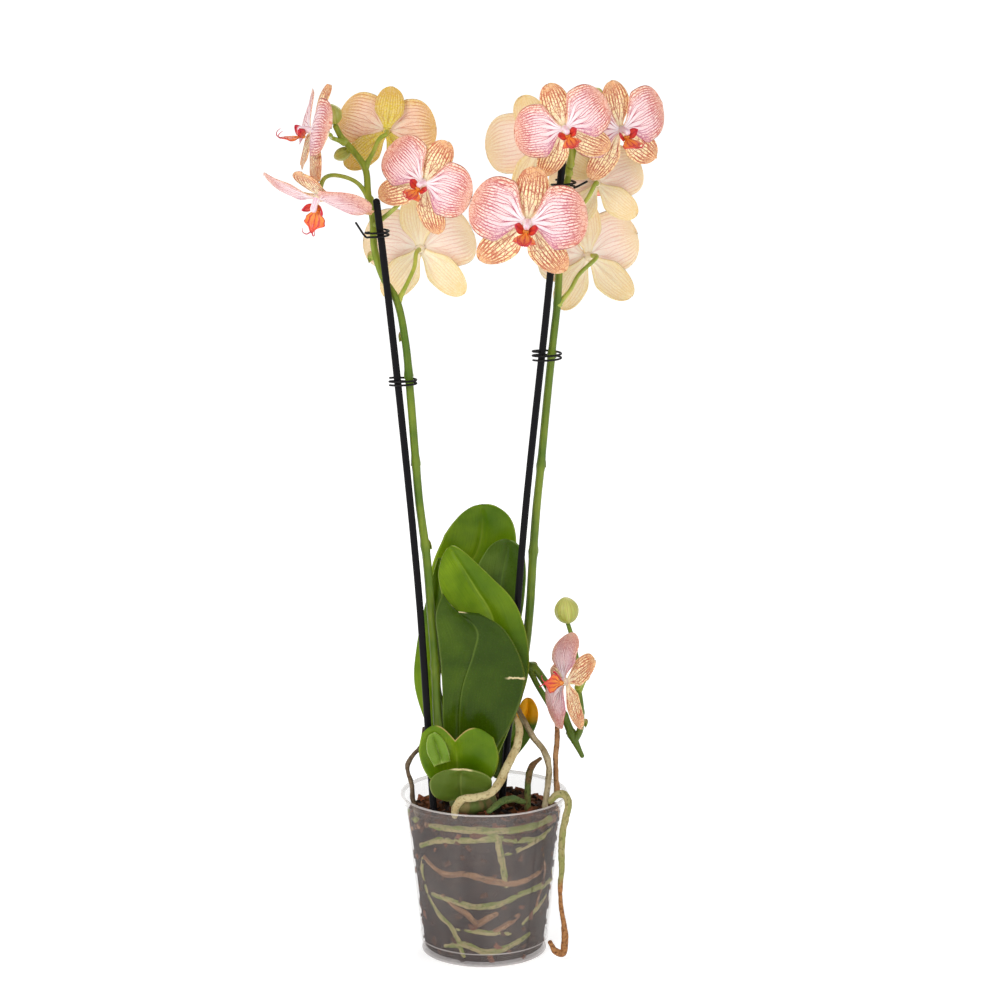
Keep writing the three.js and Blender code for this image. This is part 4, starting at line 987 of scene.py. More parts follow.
# %% Make the leaves
LEAVES = {
    "leaf_back": ([[-9, 9, 127], [-16, 26, 180], [-22, 34, 235], [-16, 37, 262], [-4, 38, 285],
                   [-1, 38, 303], [-2, 37, 318]],
                  [6, 11, 17, 24, 28, 28, 28], [6, 12, 24, 28, 28, 28, 28], 4, 3, 0, 2.5, LEAF, "leaf_green"),
    "leaf_back_dark": ([[-3, 3, 127], [0, 15, 160], [5, 23, 200], [10, 25, 240], [13, 26, 268],
                        [16, 25, 285], [17, 24, 295]],
                       [5, 8, 15, 20, 20, 18, 18], [5, 6, 13, 17, 18, 17, 17], -6, 2, 0, 2.3, LEAF_DARK,
                       "leaf_dark"),
    "leaf_mid": ([[-5, -7, 128], [6, -8, 172], [11, -9, 210], [6, -9, 246], [-6, -8, 267],
                  [-17, -7, 285], [-24, -6, 296]],
                 [7, 14, 20, 24, 25, 22, 17], [7, 14, 21, 19, 14, 10, 9], 6, 2, 0, 2.6, LEAF, "leaf_green"),
    "leaf_front": ([[-15, -15, 128], [-17, -17, 159], [-15, -21, 196], [-7, -23, 222], [-4, -23, 238],
                    [-10, -22, 246.5], [-20, -21, 253]],
                   [[-20, -15, 128], [-28, -18, 162], [-29, -21, 190], [-30, -22, 212], [-32, -22, 232],
                    [-33.5, -22, 251], [-28.6, -21, 266]],
                   [[-8, -15, 128], [8, -20, 152], [23, -21, 179], [29, -22, 205], [23, -22, 226],
                    [12, -22, 242.5], [-3, -21.5, 251.5]],
                   8, 1, 0, 0, LEAF_OLIVE, "leaf_olive"),
    "leaf_left_low": ([[-20, -6, 127], [-30, -5, 162], [-38, -4, 195], [-38, -2, 221], [-34, 0, 256],
                       [-31, 3, 286]],
                      [5, 9, 12, 11, 8, 4], [4, 8, 10, 12, 9, 4], -30, 2, 0, 3.0, LEAF, "leaf_green"),
    "leaf_front_low": ([[-17, -27, 123], [-18, -30, 136], [-19, -34, 150], [-20, -37, 164]],
                       [[-26, -27, 123], [-40, -30, 138], [-45.5, -33.5, 155], [-43.5, -36, 169]],
                       [[-9, -27, 123], [5, -30, 136], [10.5, -33.5, 150], [7, -36, 165.5]],
                       0, 3, 9, 0, LEAF_SPLIT, "leaf_green"),
    "leaf_front_low_flap": ([[-29, -37, 147], [-32, -38.6, 158], [-36, -39.4, 170]],
                            [6, 8, 7], [6, 6.5, 6], 10, 1.5, 0, 2.2, LEAF_FLAP, "leaf_green"),
    "leaf_front_lowest": ([[-15, -33, 120], [-16, -39, 128], [-16, -43, 138], [-16, -46, 146]],
                          [11, 20, 22, 20], [11, 20, 22, 20], 0, 2, 0, 2.6, LEAF_CUT, "leaf_green"),
    "leaf_right_yellow": ([[8, 15, 124], [14, 18, 138], [24, 21, 153], [31, 21, 168], [31, 20, 180]],
                          [5, 8, 9.5, 9, 8], [5, 8, 9.5, 9, 8], 6, 1.5, 0, 2.4, LEAF_OLD, "leaf_yellow"),
}


def blade(rib, left, right, yaw, fold, lobes, blunt, phase):
    """A leaf's surface with its midrib groove, and the half width at every point."""
    up, across = grid(72, 32)
    t = up[:, 0]
    middle = path(rib, t)
    ahead = unit(path(rib, np.minimum(1, t + 0.09)) - path(rib, np.maximum(0, t - 0.09)))
    look = np.array([math.sin(math.radians(yaw)), -math.cos(math.radians(yaw)), 0])
    side = unit(np.cross(ahead, look))
    face = unit(np.cross(side, ahead))
    if blunt:
        half = np.where(across < 0, flowing(left, up), flowing(right, up))
        half = np.maximum(1.0, half * np.sqrt(np.maximum(0, 1 - np.maximum(0, 2 * up - 1) ** blunt)))
        outward = side[:, None] * np.sign(across)[..., None]
    else:
        margin = np.where((across < 0)[..., None], path(left, t)[:, None], path(right, t)[:, None])
        half = np.linalg.norm(margin - middle[:, None], axis=-1)
        outward = (margin - middle[:, None]) / half[..., None]
    forward = fold * across**2 * np.sin(math.pi * np.minimum(0.9, up + 0.1))
    forward -= 1.1 * np.exp(-((across * half / 1.6) ** 2)) * smooth(0, 0.06, up) * smooth(1, 0.9, up)
    forward -= 1.6 * np.exp(-((across / 0.3) ** 2)) * smooth(0, 0.15, up) * smooth(1, 0.7, up)
    forward += 0.9 * np.sin(up * 7 + phase) * across * np.abs(across) \
        + 0.2 * np.sin(up * 15 + across * 3 + phase)
    rise = lobes * np.sin(math.pi * np.abs(across)) * smooth(0.35, 1, up)
    points = middle[:, None] + outward * (np.abs(across) * half)[..., None]
    points = points + face[:, None] * forward[..., None] + ahead[:, None] * rise[..., None]
    return points, up, across, half


for phase, (name, (rib, left, right, yaw, fold, lobes, blunt, finish, slot)) in enumerate(LEAVES.items()):
    piece = Piece()
    surface, up, across, half = blade(rib, left, right, yaw, fold, lobes, blunt, phase)
    points, faces, _, inside = skin(surface, 1.6, 0.1)
    notes = {"up": noted(up, inside), "across": noted(across, inside), "half": noted(half, inside)}
    piece.add(points, faces, [0] * len(faces), notes)
    made = piece.make(name + "_blade", [finish])
    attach(made, "root")
    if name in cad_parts:
        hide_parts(name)
print("leaves made:", list(LEAVES))

# %% [markdown]
# Aerial roots wear a corky grey coat that turns green when wet and brown where it dies.
# They are wrinkled bars, so they reuse the tree for stems with a stronger wrinkle. The
# finish mixes two coats in long patches, with fine pits, and a browner tip if asked for.

# %% Root finishes


def root_finish(name, light, other, dark, brown_below=None):
    f = Finish(name, {"Roughness": 0.72, "Specular IOR Level": 0.3, "Subsurface Weight": 0.05,
                      "Subsurface Scale": 0.002})
    distance = f.note("along")
    patch = f.noise(f.vector(f.math("MULTIPLY", distance, 60.0),
                             f.math("MULTIPLY", f.note("around"), 1.5), 0.3), 1.0)
    pits = f.noise(f.place(), 520.0)
    fine = f.noise(f.vector(f.math("MULTIPLY", distance, 160.0),
                            f.math("MULTIPLY", f.note("around"), 16.0), 0.0), 1.0)
    coat = f.blend(f.step(patch, 0.38, 0.64), paint(light), paint(other))
    coat = f.blend(f.step(pits, 0.52, 0.72, 0.0, 0.75), coat, paint(dark))
    coat = f.blend(f.step(fine, 0.55, 0.8, 0.0, 0.4), coat, paint(dark))
    if brown_below:
        _, _, z = corners(f)
        ragged = f.math("MULTIPLY_ADD", patch, 0.012, z)
        dead = f.blend(f.step(pits, 0.4, 0.7), paint("a87444"), paint("6b4222"))
        coat = f.blend(f.step(ragged, brown_below + 0.01, brown_below), coat, dead)
    f.colour(coat)
    f.rough(f.step(pits, 0.3, 0.7, 0.6, 0.85))
    f.bump(f.math("MULTIPLY_ADD", fine, 0.6, pits), 0.45, 0.0005)
    return f


ROOT_FINISHES = {
    "root_tan": root_finish("root_tan", "c4b588", "ab9664", "75603a"),
    "root_brown": root_finish("root_brown", "a87e54", "865c38", "442e1c"),
    "root_olive": root_finish("root_olive", "87923a", "b8a872", "4a5418"),
    "root_hanging": root_finish("root_hanging", "8f8e52", "a99c6c", "5a542e", 0.058),
    "root_inner": root_finish("root_grey", "ab9c7c", "83724f", "574630"),
    "root_left": root_finish("root_bare", "75634c", "4f3f2e", "261c14"),
    "root_stub": root_finish("root_stump", "5c6a2e", "7a5a3a", "33301a"),
    "root_flat": root_finish("root_green", "56703c", "6f7f42", "2f421c"),
}
print("root finishes made:", list(ROOT_FINISHES))

# %% [markdown]
# The free roots leave the stems above the bark, wander down and dive in or hang over the
# rim. Their tables give the route and the radii. The roots pressed against the wall follow
# it round, so their tables give only an angle and a height, with 0 degrees at the right
# and -90 at the front.

# %% Free roots
ROOTS = {
    "root_front": ([[21, -16, 178], [25, -21, 169], [23, -29, 157], [17, -35, 146], [11, -42, 135],
                    [5, -47, 129], [-5, -50, 126.5], [-15, -50.5, 125], [-19.5, -49.5, 119],
                    [-20, -48, 113]],
                   [1.6, 2.8, 2.9, 2.9, 2.8, 2.8, 2.7, 2.6], "root_tan"),
    "root_inner": ([[24, -5, 178], [35, -11, 159], [43, -14, 149], [46, -17, 139], [45, -20, 126],
                    [43, -23, 112]], [1.9, 2.2, 2.3, 2.2, 2.1], "root_tan"),
    "root_side": ([[52, -2, 167], [52, -4, 156], [51, -8, 145], [51, -12, 133], [52, -15, 118]],
                  [1.5, 1.8, 1.9, 1.9, 2.2], "root_brown"),
    "root_hanging": ([[47, -27, 117], [52, -28, 122], [57, -29, 122], [59.5, -30, 116], [58, -31, 107],
                      [55.5, -30, 94], [55, -29, 77], [55, -29, 66], [54, -28, 50], [55, -28, 37],
                      [57, -29, 25], [57.5, -30, 13], [56, -31, 6], [51, -33, 8], [47, -34, 15]],
                     [2.5, 2.6, 2.6, 2.5, 2.4, 2.4, 2.2, 1.5, 1.7, 2.4, 2.6, 2.6, 1.6], "root_olive"),
    "root_stub": ([[40, -6, 142], [35, -8, 138], [32, -10, 131], [31, -13, 119], [31, -15, 108]],
                  [1.2, 2.4, 2.5, 2.4, 2.3], "root_olive"),
    "root_left": ([[-42.5, -13, 166], [-44, -15, 154], [-50, -18, 148], [-54, -20, 140], [-51, -21, 128],
                   [-50, -22, 116], [-47, -23, 106]], [1.3, 1.5, 1.7, 1.6, 1.9, 2.0], "root_brown"),
    "root_flat": ([[4, -38, 113], [12, -30, 117], [20, -22, 117], [28, -15, 113]],
                  [2.0, 2.6, 2.6, 2.0], "root_olive"),
}
for seed, (name, (route, radii, slot)) in enumerate(ROOTS.items()):
    finish = ROOT_FINISHES.get(name, ROOT_FINISHES[slot])
    bars(name + "_cork", [strand(route, radii, 30 * len(route))], finish, name, 20, 0.0018, 150.0, seed)
print("free roots made:", list(ROOTS))

# %% [markdown]
# The wall narrows towards the foot, so its radius at a height is worked out once and used
# by the roots behind it, the bark and the pot itself. Four roots are parts of the frame.
# More roots lie between them, some deeper in the bark, and a seeded few at the back.

# %% Roots along the wall
POT_HEIGHT, RIM_RADIUS, SHOULDER_RADIUS, BASE_RADIUS, WALL = 116, 60, 57, 44.7, 1.0
FLOOR_THICKNESS = 1.4
WALL_CLEARANCE = 0.4
DEPTH_SHARE = 0.35
CORK_LUMPS, CORK_SCALE = 0.0026, 140.0


def wall_radius(z):
    """The outside of the pot's wall at a height."""
    return BASE_RADIUS + (SHOULDER_RADIUS - BASE_RADIUS) * z / (POT_HEIGHT - 6)


WALL_ROOTS = {
    "root_wall_high": ([[-150, 84], [-130, 92], [-110, 95], [-85, 97], [-60, 94], [-35, 92]],
                      3.0, "root_olive"),
    "root_wall_amber": ([[-146, 76], [-125, 68], [-105, 70], [-85, 66], [-62, 62], [-36, 66]],
                       3.2, "root_brown"),
    "root_wall_low": ([[-140, 50], [-120, 48.5], [-98, 45.5], [-78, 47], [-58, 52.5], [-34, 55]],
                     2.8, "root_olive"),
    "root_wall_foot": ([[-130, 12], [-108, 16], [-88, 11], [-66, 14], [-44, 20]], 3.0, "root_olive"),
}
MORE_ROOTS = [
    ([[-135, 102], [-105, 103], [-61, 102], [-28, 103]], 2.5, 0, "root_olive"),
    ([[-92, 103], [-81, 100], [-78, 90], [-75, 78], [-71, 61]], 2.9, 0.2, "root_olive"),
    ([[-76, 84], [-50, 90], [-24, 96]], 2.8, 1.5, "root_olive"),
    ([[-146, 47], [-133, 35], [-122, 29], [-114, 17], [-110, 7]], 2.9, 0.6, "root_olive"),
    ([[-115, 27], [-89, 26], [-64, 24]], 2.8, 1.8, "root_olive"),
    ([[-127, 51], [-117, 45], [-106, 40], [-95, 33], [-87, 37], [-79, 40]], 2.6, 0, "root_brown"),
    ([[-80, 27], [-69, 31], [-58, 37]], 3.0, 0.4, "root_brown"),
    ([[-150, 74], [-153, 62], [-148, 50]], 2.2, 0.5, "root_olive"),
    ([[-35, 80], [-28, 64], [-33, 50], [-38, 36]], 2.8, 2.0, "root_brown"),
    ([[-52, 30], [-36, 38], [-20, 44]], 2.6, 1.0, "root_olive"),
]
rng = np.random.default_rng(29)
for k in range(13):
    start, height, span = rng.uniform(-15, 175), rng.uniform(10, 98), rng.uniform(45, 95)
    bends = np.clip(height + rng.normal(0, 9, 4).cumsum(), 8, 101)
    MORE_ROOTS.append(([[start + span * (i / 3 - 0.5), z] for i, z in enumerate(bends)],
                       rng.uniform(2.2, 3.1), rng.uniform(0, 2.5), ("root_olive", "root_brown")[k % 3 == 2]))


def round_the_wall(route, radius, depth=0.0):
    """A strand pressed against the inside of the wall, or some way behind it."""
    angle, z = path([[a, z, 0] for a, z in route], np.linspace(0, 1, 60))[:, :2].T
    reach = wall_radius(z) - WALL - radius - WALL_CLEARANCE - DEPTH_SHARE * depth
    turn = np.radians(angle)
    size = along([radius * 0.8, radius, radius, radius * 0.85], np.linspace(0, 1, 60))
    return np.stack([reach * np.cos(turn), reach * np.sin(turn), z], -1), size


for seed, (name, (route, radius, slot)) in enumerate(WALL_ROOTS.items()):
    bars(name + "_cork", [round_the_wall(route, radius)], ROOT_FINISHES[slot], name, 18,
         CORK_LUMPS, CORK_SCALE, seed)
for slot in ("root_olive", "root_brown"):
    strands = [round_the_wall(route, radius, depth)
               for route, radius, depth, kind in MORE_ROOTS if kind == slot]
    bars(slot + "_in_bark", strands, ROOT_FINISHES[slot], None, 14, CORK_LUMPS, CORK_SCALE, 7)
print("roots along the wall:", len(WALL_ROOTS) + len(MORE_ROOTS))

# %% [markdown]
# Orchid bark is a loose mix of chips. A dark core fills the pot, and chips are scattered
# over its top and its side by a node tree: points are spread at least a given distance
# apart, each gets one of three worn blocks with its own turn, size and tone, and the
# seed keeps every run the same. A chip has only two dozen faces, since there are hundreds.

# %% Bark finishes and the scatter tree
CHIP = Finish("bark_chip", {"Roughness": 0.9, "Specular IOR Level": 0.25})
tone, grain = CHIP.note("tone"), CHIP.noise(CHIP.stretched((260, 260, 700)), 1.0)
brown = CHIP.blend(CHIP.step(tone, 0.1, 0.55), paint("20140e"), paint("57300f"))
brown = CHIP.blend(CHIP.step(tone, 0.7, 1.0), brown, paint("94583a"))
CHIP.colour(CHIP.blend(CHIP.step(grain, 0.4, 0.7, 0.0, 0.6), brown, paint("170d08")))
CHIP.bump(grain, 0.6, 0.0008)
CORE = Finish("bark_core", {"Roughness": 1.0, "Specular IOR Level": 0.0})
lumps = CORE.noise(CORE.place(), 120.0, 5.0)
CORE.colour(CORE.blend(CORE.step(lumps, 0.35, 0.7), paint("150f0e"), paint("382a24")))
CORE.bump(lumps, 0.35, 0.001)


def scatter_tree():
    tree = bpy.data.node_groups.new("chips scattered over a surface", "GeometryNodeTree")
    for label, kind in (("Surface", "Geometry"), ("Spacing", "Float"), ("Chips per square metre", "Float"),
                        ("Chip length", "Float"), ("Seed", "Int"), ("Finish", "Material")):
        tree.interface.new_socket(label, in_out="INPUT", socket_type="NodeSocket" + kind)
    tree.interface.new_socket("Chips", in_out="OUTPUT", socket_type="NodeSocketGeometry")
    new, link = tree.nodes.new, tree.links.new
    given, result = new("NodeGroupInput"), new("NodeGroupOutput")
    spread = new("GeometryNodeDistributePointsOnFaces")
    spread.distribute_method = "POISSON"
    link(given.outputs["Surface"], spread.inputs["Mesh"])
    link(given.outputs["Spacing"], spread.inputs["Distance Min"])
    link(given.outputs["Chips per square metre"], spread.inputs["Density Max"])
    link(given.outputs["Seed"], spread.inputs["Seed"])
    kinds = new("GeometryNodeJoinGeometry")
    for kind in range(3):
        block, worn = new("GeometryNodeMeshCube"), new("GeometryNodeSetPosition")
        block.inputs["Size"].default_value = (1.0, 0.72 - 0.1 * kind, 0.36 + 0.1 * kind)
        for axis in ("X", "Y", "Z"):
            block.inputs["Vertices " + axis].default_value = 3
        noise, centred = new("ShaderNodeTexNoise"), new("ShaderNodeVectorMath")
        noise.noise_dimensions = "4D"
        noise.inputs["W"].default_value = 3.7 * kind
        noise.inputs["Scale"].default_value = 2.4
        centred.operation = "MULTIPLY_ADD"
        centred.inputs[1].default_value = (0.75,) * 3
        centred.inputs[2].default_value = (-0.375,) * 3
        link(new("GeometryNodeInputPosition").outputs[0], noise.inputs["Vector"])
        link(noise.outputs["Color"], centred.inputs[0])
        link(block.outputs["Mesh"], worn.inputs["Geometry"])
        link(centred.outputs[0], worn.inputs["Offset"])
        single = new("GeometryNodeGeometryToInstance")
        link(worn.outputs[0], single.inputs[0])
        link(single.outputs[0], kinds.inputs[0])

    def chance(kind, low, high, salt):
        node = new("FunctionNodeRandomValue")
        node.data_type = kind
        slot = {"FLOAT_VECTOR": 0, "FLOAT": 2, "INT": 4}[kind]
        node.inputs[slot].default_value, node.inputs[slot + 1].default_value = low, high
        node.inputs["Seed"].default_value = salt
        return node.outputs[{"FLOAT_VECTOR": 0, "FLOAT": 1, "INT": 2}[kind]]

    turn, tilt = new("FunctionNodeRotateRotation"), new("FunctionNodeEulerToRotation")
    turn.rotation_space = "LOCAL"
    link(chance("FLOAT_VECTOR", (-0.7, -0.7, 0.0), (0.7, 0.7, 6.28), 1), tilt.inputs[0])
    link(spread.outputs["Rotation"], turn.inputs[0])
    link(tilt.outputs[0], turn.inputs[1])
    size = new("ShaderNodeMath")
    size.operation = "MULTIPLY"
    link(chance("FLOAT", 0.6, 1.35, 2), size.inputs[0])
    link(given.outputs["Chip length"], size.inputs[1])
    place = new("GeometryNodeInstanceOnPoints")
    place.inputs["Pick Instance"].default_value = True
    link(spread.outputs["Points"], place.inputs["Points"])
    link(kinds.outputs[0], place.inputs["Instance"])
    link(chance("INT", 0, 2, 3), place.inputs["Instance Index"])
    link(turn.outputs[0], place.inputs["Rotation"])
    link(size.outputs[0], place.inputs["Scale"])
    store = new("GeometryNodeStoreNamedAttribute")
    store.data_type, store.domain = "FLOAT", "INSTANCE"
    store.inputs["Name"].default_value = "tone"
    link(place.outputs[0], store.inputs["Geometry"])
    link(chance("FLOAT", 0.0, 1.0, 4), store.inputs["Value"])
    real, coat = new("GeometryNodeRealizeInstances"), new("GeometryNodeSetMaterial")
    link(store.outputs[0], real.inputs[0])
    link(real.outputs[0], coat.inputs["Geometry"])
    link(given.outputs["Finish"], coat.inputs["Material"])
    link(coat.outputs[0], result.inputs[0])
    return tree


SCATTER = scatter_tree()
print("scatter tree nodes:", len(SCATTER.nodes))

# %% [markdown]
# The core is turned like a pot: a line of radius and height, swept round the axis. The
# same helper turns the pot later. The top is domed towards the crown and lumpy. Chips
# that stick out through the wall are pulled back inside it.

# %% Bark core and chips
BARK_TOP, BARK_DOME = 106, 6


def turned(profile, segments, lumps=None):
    """A closed turned body from a profile that starts and ends on the axis."""
    rings = np.array(profile[1:-1], float)
    turn = np.arange(segments) / segments * 2 * math.pi
    radius, angle = np.meshgrid(rings[:, 0], turn, indexing="ij")
    points = np.stack([radius * np.cos(angle), radius * np.sin(angle), rings[:, 1][:, None] + 0 * angle], -1)
    if lumps:
        points = lumps(points, angle)
    points = np.vstack([points.reshape(-1, 3), [[0, 0, profile[0][1]], [0, 0, profile[-1][1]]]])
    faces, last = [], (len(rings) - 1) * segments
    for j in range(segments):
        n = (j + 1) % segments
        faces += [(k * segments + j, k * segments + n, (k + 1) * segments + n, (k + 1) * segments + j)
                  for k in range(len(rings) - 1)]
        faces += [(len(points) - 2, n, j), (len(points) - 1, last + j, last + n)]
    return points, faces


BARK_GAP = 1.7
BARK_FOOT = 2.6


def bark_surface(z):
    """The side of the bark, a little way inside the wall."""
    return wall_radius(z) - WALL - BARK_GAP


def lumpy(points, _angle):
    """An uneven top on the heap of bark."""
    x, y = points[..., 0], points[..., 1]
    top = points[..., 2] > 90
    points[..., 2] += top * (np.sin(x * 0.31 + y * 0.17) + np.sin(y * 0.37 - x * 0.13)) * 0.9
    return points


levels = [(bark_surface(z), z) for z in np.linspace(4, 98, 14)]
crest = [(r, BARK_TOP - 5 + BARK_DOME * (1 - (r / SHOULDER_RADIUS) ** 2)) for r in (49, 40, 30, 20, 10)]
outline = [(0, BARK_FOOT), (bark_surface(0) - 1.6, BARK_FOOT), *levels, *crest, (0, BARK_TOP + 1)]
points, faces = turned(outline, 72, lumpy)
piece = Piece()
piece.add(points, faces, [0] * len(faces))
core = piece.make("bark_core_fill", [CORE])

for name, low, high, spacing, amount, length, seed in (
        ("bark_chips_top", 99.0, 200.0, 0.0034, 90000.0, 0.0078, 3),
        ("bark_chips_side", -1.0, 99.0, 0.0085, 12000.0, 0.0046, 5)):
    kept = [f.vertices[:] for f in core.data.polygons if low < f.center.z / MM < high]
    used = sorted({v for face in kept for v in face})
    renumber = {v: k for k, v in enumerate(used)}
    ground = bpy.data.meshes.new(name)
    ground.from_pydata([core.data.vertices[v].co[:] for v in used], [],
                       [[renumber[v] for v in face] for face in kept])
    chips = grown(name, ground, SCATTER, {"Spacing": spacing, "Chips per square metre": amount,
                                          "Chip length": length, "Seed": seed, "Finish": CHIP.material})
    spots = np.zeros(len(chips.data.vertices) * 3)
    chips.data.vertices.foreach_get("co", spots)
    spots = spots.reshape(-1, 3)
    far = np.hypot(spots[:, 0], spots[:, 1])
    limit = (wall_radius(spots[:, 2] / MM) - WALL - 0.6) * MM
    spots[:, :2] *= np.minimum(1, limit / far)[:, None]
    spots[:, 2] = np.maximum(spots[:, 2], 2 * MM)
    chips.data.vertices.foreach_set("co", spots.ravel())
    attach(chips, "root")
    print(name, len(chips.data.polygons) // 24, "chips")
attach(core, "root")
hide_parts("bark_mix")

# %% [markdown]
# The crown is the short stem hidden between the leaf bases, wrapped in old dry sheaths.
# A globe with many shallow grooves is enough, since the chips bury its lower half.

# %% Crown
CROWN = Finish("crown_sheath", {"Roughness": 0.7})
husk = CROWN.noise(CROWN.stretched((180, 180, 40)), 1.0)
CROWN.colour(CROWN.blend(CROWN.step(husk, 0.35, 0.65), paint("5f6f2a"), paint("8a7748")))
CROWN.bump(husk, 0.5, 0.0008)
piece = Piece()
points, faces, _ = globe(np.array([-8.0, -10.0, 112.0]), [17, 20, 9.5], (0, 0, 1), 72, 24, 9, 0.08)
piece.add(points, faces, [0] * len(faces))
crown = piece.make("crown_sheaths", [CROWN])
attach(crown, "root")
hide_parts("crown")
print("crown made")

# %% [markdown]
# The nursery pot is blown from thin, slightly cloudy plastic, so the bark and roots show
# through as if behind smoke. It is turned from a profile with a rolled rim, a step above
# the foot and a faint moulding seam, and arched drain holes are cut round its foot with a
# Boolean. A low alpha gives the cloudy look from outside and inside alike.

# %% The clear pot


def plastic(name, alpha, dark, light):
    """Clear plastic with faint clouds and scuffs."""
    f = Finish(name, {"Alpha": alpha, "IOR": 1.45, "Specular IOR Level": 0.5, "Coat Weight": 0.3,
                      "Coat Roughness": 0.12})
    cloud = f.noise(f.stretched((30, 30, 14)), 1.0)
    f.colour(f.blend(f.step(cloud, 0.3, 0.7), paint(dark), paint(light)))
    scuff = f.noise(f.stretched((300, 300, 60)), 1.0)
    f.rough(f.step(scuff, 0.3, 0.75, 0.16, 0.34))
    f.bump(scuff, 0.12, 0.0004)
    return f


PLASTIC = plastic("pot_plastic", 0.16, "857a78", "aaa09c")
RIM_PLASTIC = plastic("pot_rim", 0.5, "cfc6c2", "e2dad6")
SEAM_PLASTIC = plastic("pot_seam", 0.3, "4a403e", "5c524e")

RIM_LOW = POT_HEIGHT - 4.5
SEAM = math.radians(-47.8)
DRAIN_ARCHES, ARCH_SHIFT, ARCH_HALF_WIDTH, ARCH_RISE = 8, 0.095, 4.25, 6


def inner_radius(z):
    """The inside of the pot's wall at a height."""
    return wall_radius(z) - WALL


def seamed(points, angle):
    """A low vertical ridge where the two halves of the mould met."""
    ridge = 1 + 0.008 * np.exp(-(((angle - SEAM + math.pi) % (2 * math.pi) - math.pi) / 0.012) ** 2)
    wall = (points[..., 2] > 12) & (points[..., 2] < 109) & (np.hypot(points[..., 0], points[..., 1]) > 0)
    points[..., :2] *= np.where(wall, ridge, 1.0)[..., None]
    return points


profile = [(0, 0), (BASE_RADIUS - 0.6, 0), (BASE_RADIUS, 0.5), (wall_radius(9.6) + 0.45, 9.6),
           (wall_radius(10.4) + 0.4, 10.4), (wall_radius(11.5), 11.5), (wall_radius(40), 40),
           (wall_radius(75), 75), (wall_radius(109), 109), (wall_radius(109) + 0.6, 110.2),
           (58.6, RIM_LOW), (59.6, RIM_LOW + 0.2), (RIM_RADIUS, RIM_LOW + 0.8),
           (RIM_RADIUS, 115.2), (59.7, 115.8),
           (59.1, POT_HEIGHT), (58.3, POT_HEIGHT), (57.7, 115.6), (inner_radius(RIM_LOW) + 0.6, 114.2),
           (inner_radius(109), 109), (inner_radius(75), 75), (inner_radius(40), 40),
           (inner_radius(FLOOR_THICKNESS) + 0.1, FLOOR_THICKNESS + 0.8),
           (inner_radius(FLOOR_THICKNESS) - 0.6, FLOOR_THICKNESS), (0, FLOOR_THICKNESS)]
piece = Piece()
points, faces = turned(profile, 192, seamed)
piece.add(points, faces, [0] * len(faces))
pot = piece.make("pot_shell", [PLASTIC, RIM_PLASTIC, SEAM_PLASTIC])

arches = Piece()
for k in range(DRAIN_ARCHES):
    turn = (k + 0.5) / DRAIN_ARCHES * 2 * math.pi - ARCH_SHIFT
    bend = np.radians(np.linspace(-100, 100, 17))
    arch = [(ARCH_HALF_WIDTH * math.sin(b), ARCH_RISE * math.cos(b)) for b in bend]
    ends = [[(reach * math.cos(turn) - s * math.sin(turn), reach * math.sin(turn) + s * math.cos(turn), h)
             for s, h in arch] for reach in (39.7, 48.7)]
    n = len(arch)
    faces = [(j, (j + 1) % n, n + (j + 1) % n, n + j) for j in range(n)]
    faces += [tuple(range(n))[::-1], tuple(range(n, 2 * n))]
    arches.add(np.array(ends[0] + ends[1]), faces, [0] * len(faces))
cutter = arches.make("drain_arches", [PLASTIC])
cut = pot.modifiers.new("drain holes", "BOOLEAN")
cut.operation, cut.solver, cut.object = "DIFFERENCE", "EXACT", cutter
bpy.context.view_layer.update()
pot_mesh = bpy.data.meshes.new_from_object(pot.evaluated_get(bpy.context.evaluated_depsgraph_get()))
pot.modifiers.clear()
pot.data = pot_mesh
bpy.data.objects.remove(cutter)
pot.data.set_sharp_from_angle(angle=math.radians(32))
for face in pot.data.polygons:
    x, y, z = face.center / MM
    if z > 114 or z < 1.2 or 9.7 < z < 10.4:
        face.material_index = 1
    elif 12 < z < 109 and abs(math.atan2(y, x) - SEAM) < math.pi / 192:
        face.material_index = 2
    else:
        face.material_index = 0
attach(pot, "root")
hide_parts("pot")
print("pot made with", len(pot.data.polygons), "faces")

# %% [markdown]
# The plant stands on a plain pale floor in soft light: a bright white world, one large
# lamp high on the left, a weaker one on the right and one behind for the leaf margins.
# The camera looks slightly down through a long lens, which keeps both spikes upright.

# %% Floor, light and camera
FLOOR_HALF, FLOOR_LEVEL = 60, -0.0003
AIM = (0, 0, 0.35)
LENS, SENSOR, CAMERA_DIP = 108, 36, 10.8

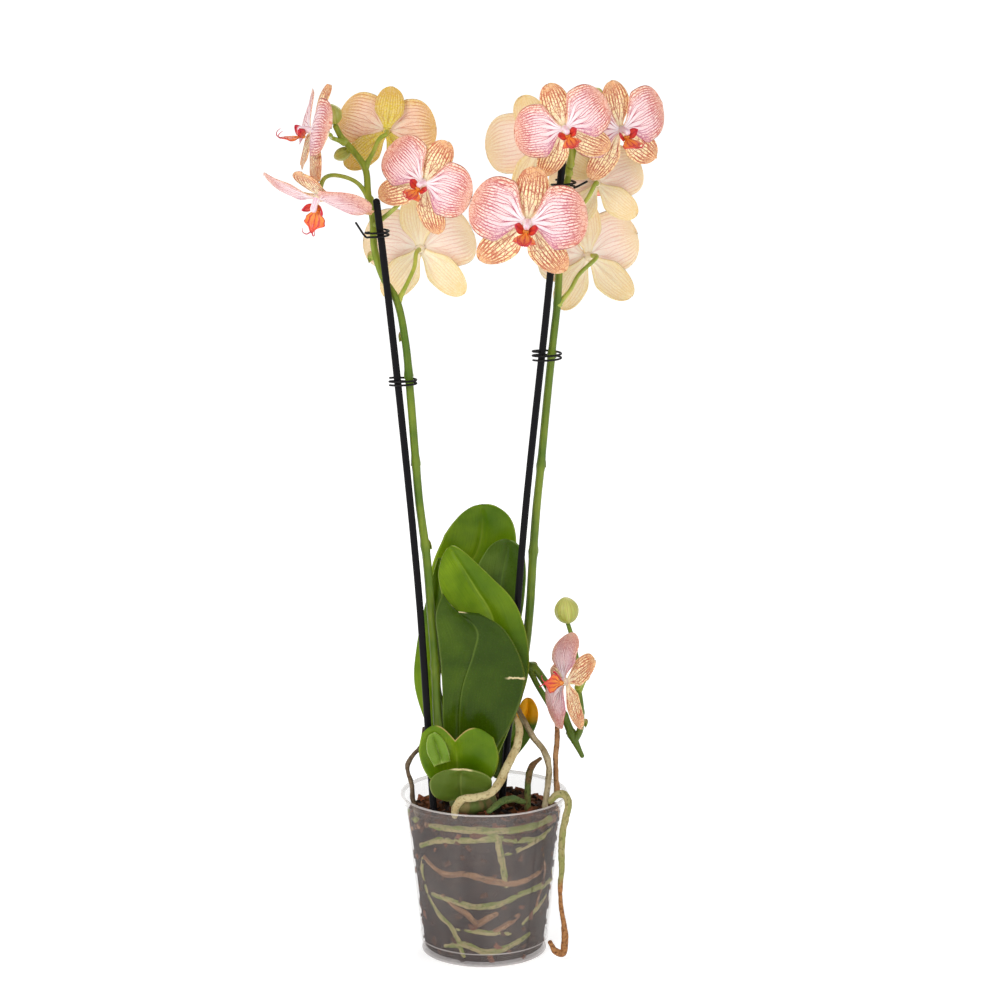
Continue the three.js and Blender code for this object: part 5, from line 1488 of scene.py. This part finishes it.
PALE = Finish("floor_pale", {"Roughness": 0.9, "Specular IOR Level": 0.1})
PALE.colour(PALE.blend(PALE.noise(PALE.place(), 3.0), (0.93, 0.93, 0.93, 1), (0.95, 0.95, 0.95, 1)))
PALE.shader.inputs["Emission Color"].default_value = (1, 1, 1, 1)
away = PALE.node("ShaderNodeVectorMath", {0: PALE.place()}, 1, operation="LENGTH")
PALE.plug(PALE.shader.inputs["Emission Strength"], PALE.step(away, 0.5, 3.0, 0.45, 0.75))
mesh = bpy.data.meshes.new("floor")
floor_corners = [(x * FLOOR_HALF, y * FLOOR_HALF, FLOOR_LEVEL)
                 for x, y in ((-1, -1), (1, -1), (1, 1), (-1, 1))]
mesh.from_pydata(floor_corners, [], [(0, 1, 2, 3)])
mesh.materials.append(PALE.material)
floor = bpy.data.objects.new("floor", mesh)
bpy.context.scene.collection.objects.link(floor)
floor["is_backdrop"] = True

world = bpy.data.worlds.new("white room")
bpy.context.scene.world = world
world.use_nodes = True
world.node_tree.nodes["Background"].inputs["Color"].default_value = (1.0, 0.995, 0.985, 1)
world.node_tree.nodes["Background"].inputs["Strength"].default_value = 0.42


def lamp(name, place, aim, size, power):
    """A square lamp that shines from a place towards a point."""
    light = bpy.data.lights.new(name, "AREA")
    light.size, light.energy = size, power
    made = bpy.data.objects.new(name, light)
    made.location = place
    made.rotation_euler = (Vector(aim) - Vector(place)).to_track_quat("-Z", "Y").to_euler()
    bpy.context.scene.collection.objects.link(made)


lamp("key_left", (-1.1, -1.9, 1.7), AIM, 1.0, 30)
lamp("fill_right", (1.7, -1.2, 1.0), AIM, 1.0, 8)
lamp("back_top", (0.4, 1.5, 1.6), AIM, 1.2, 14)

camera = bpy.data.objects.new("camera", bpy.data.cameras.new("camera"))
camera.data.lens, camera.data.sensor_width = LENS, SENSOR
camera.location = (0.0114, -2.066, 0.7221)
camera.rotation_euler = (math.radians(90 - CAMERA_DIP), 0, 0)
bpy.context.scene.collection.objects.link(camera)
bpy.context.scene.camera = camera
bpy.context.scene.view_settings.view_transform = "Standard"
print("stage set")

# %% Find the plant's box and finish
low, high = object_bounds()
print("box of the plant:", [round(v, 4) for v in (*low, *high)])
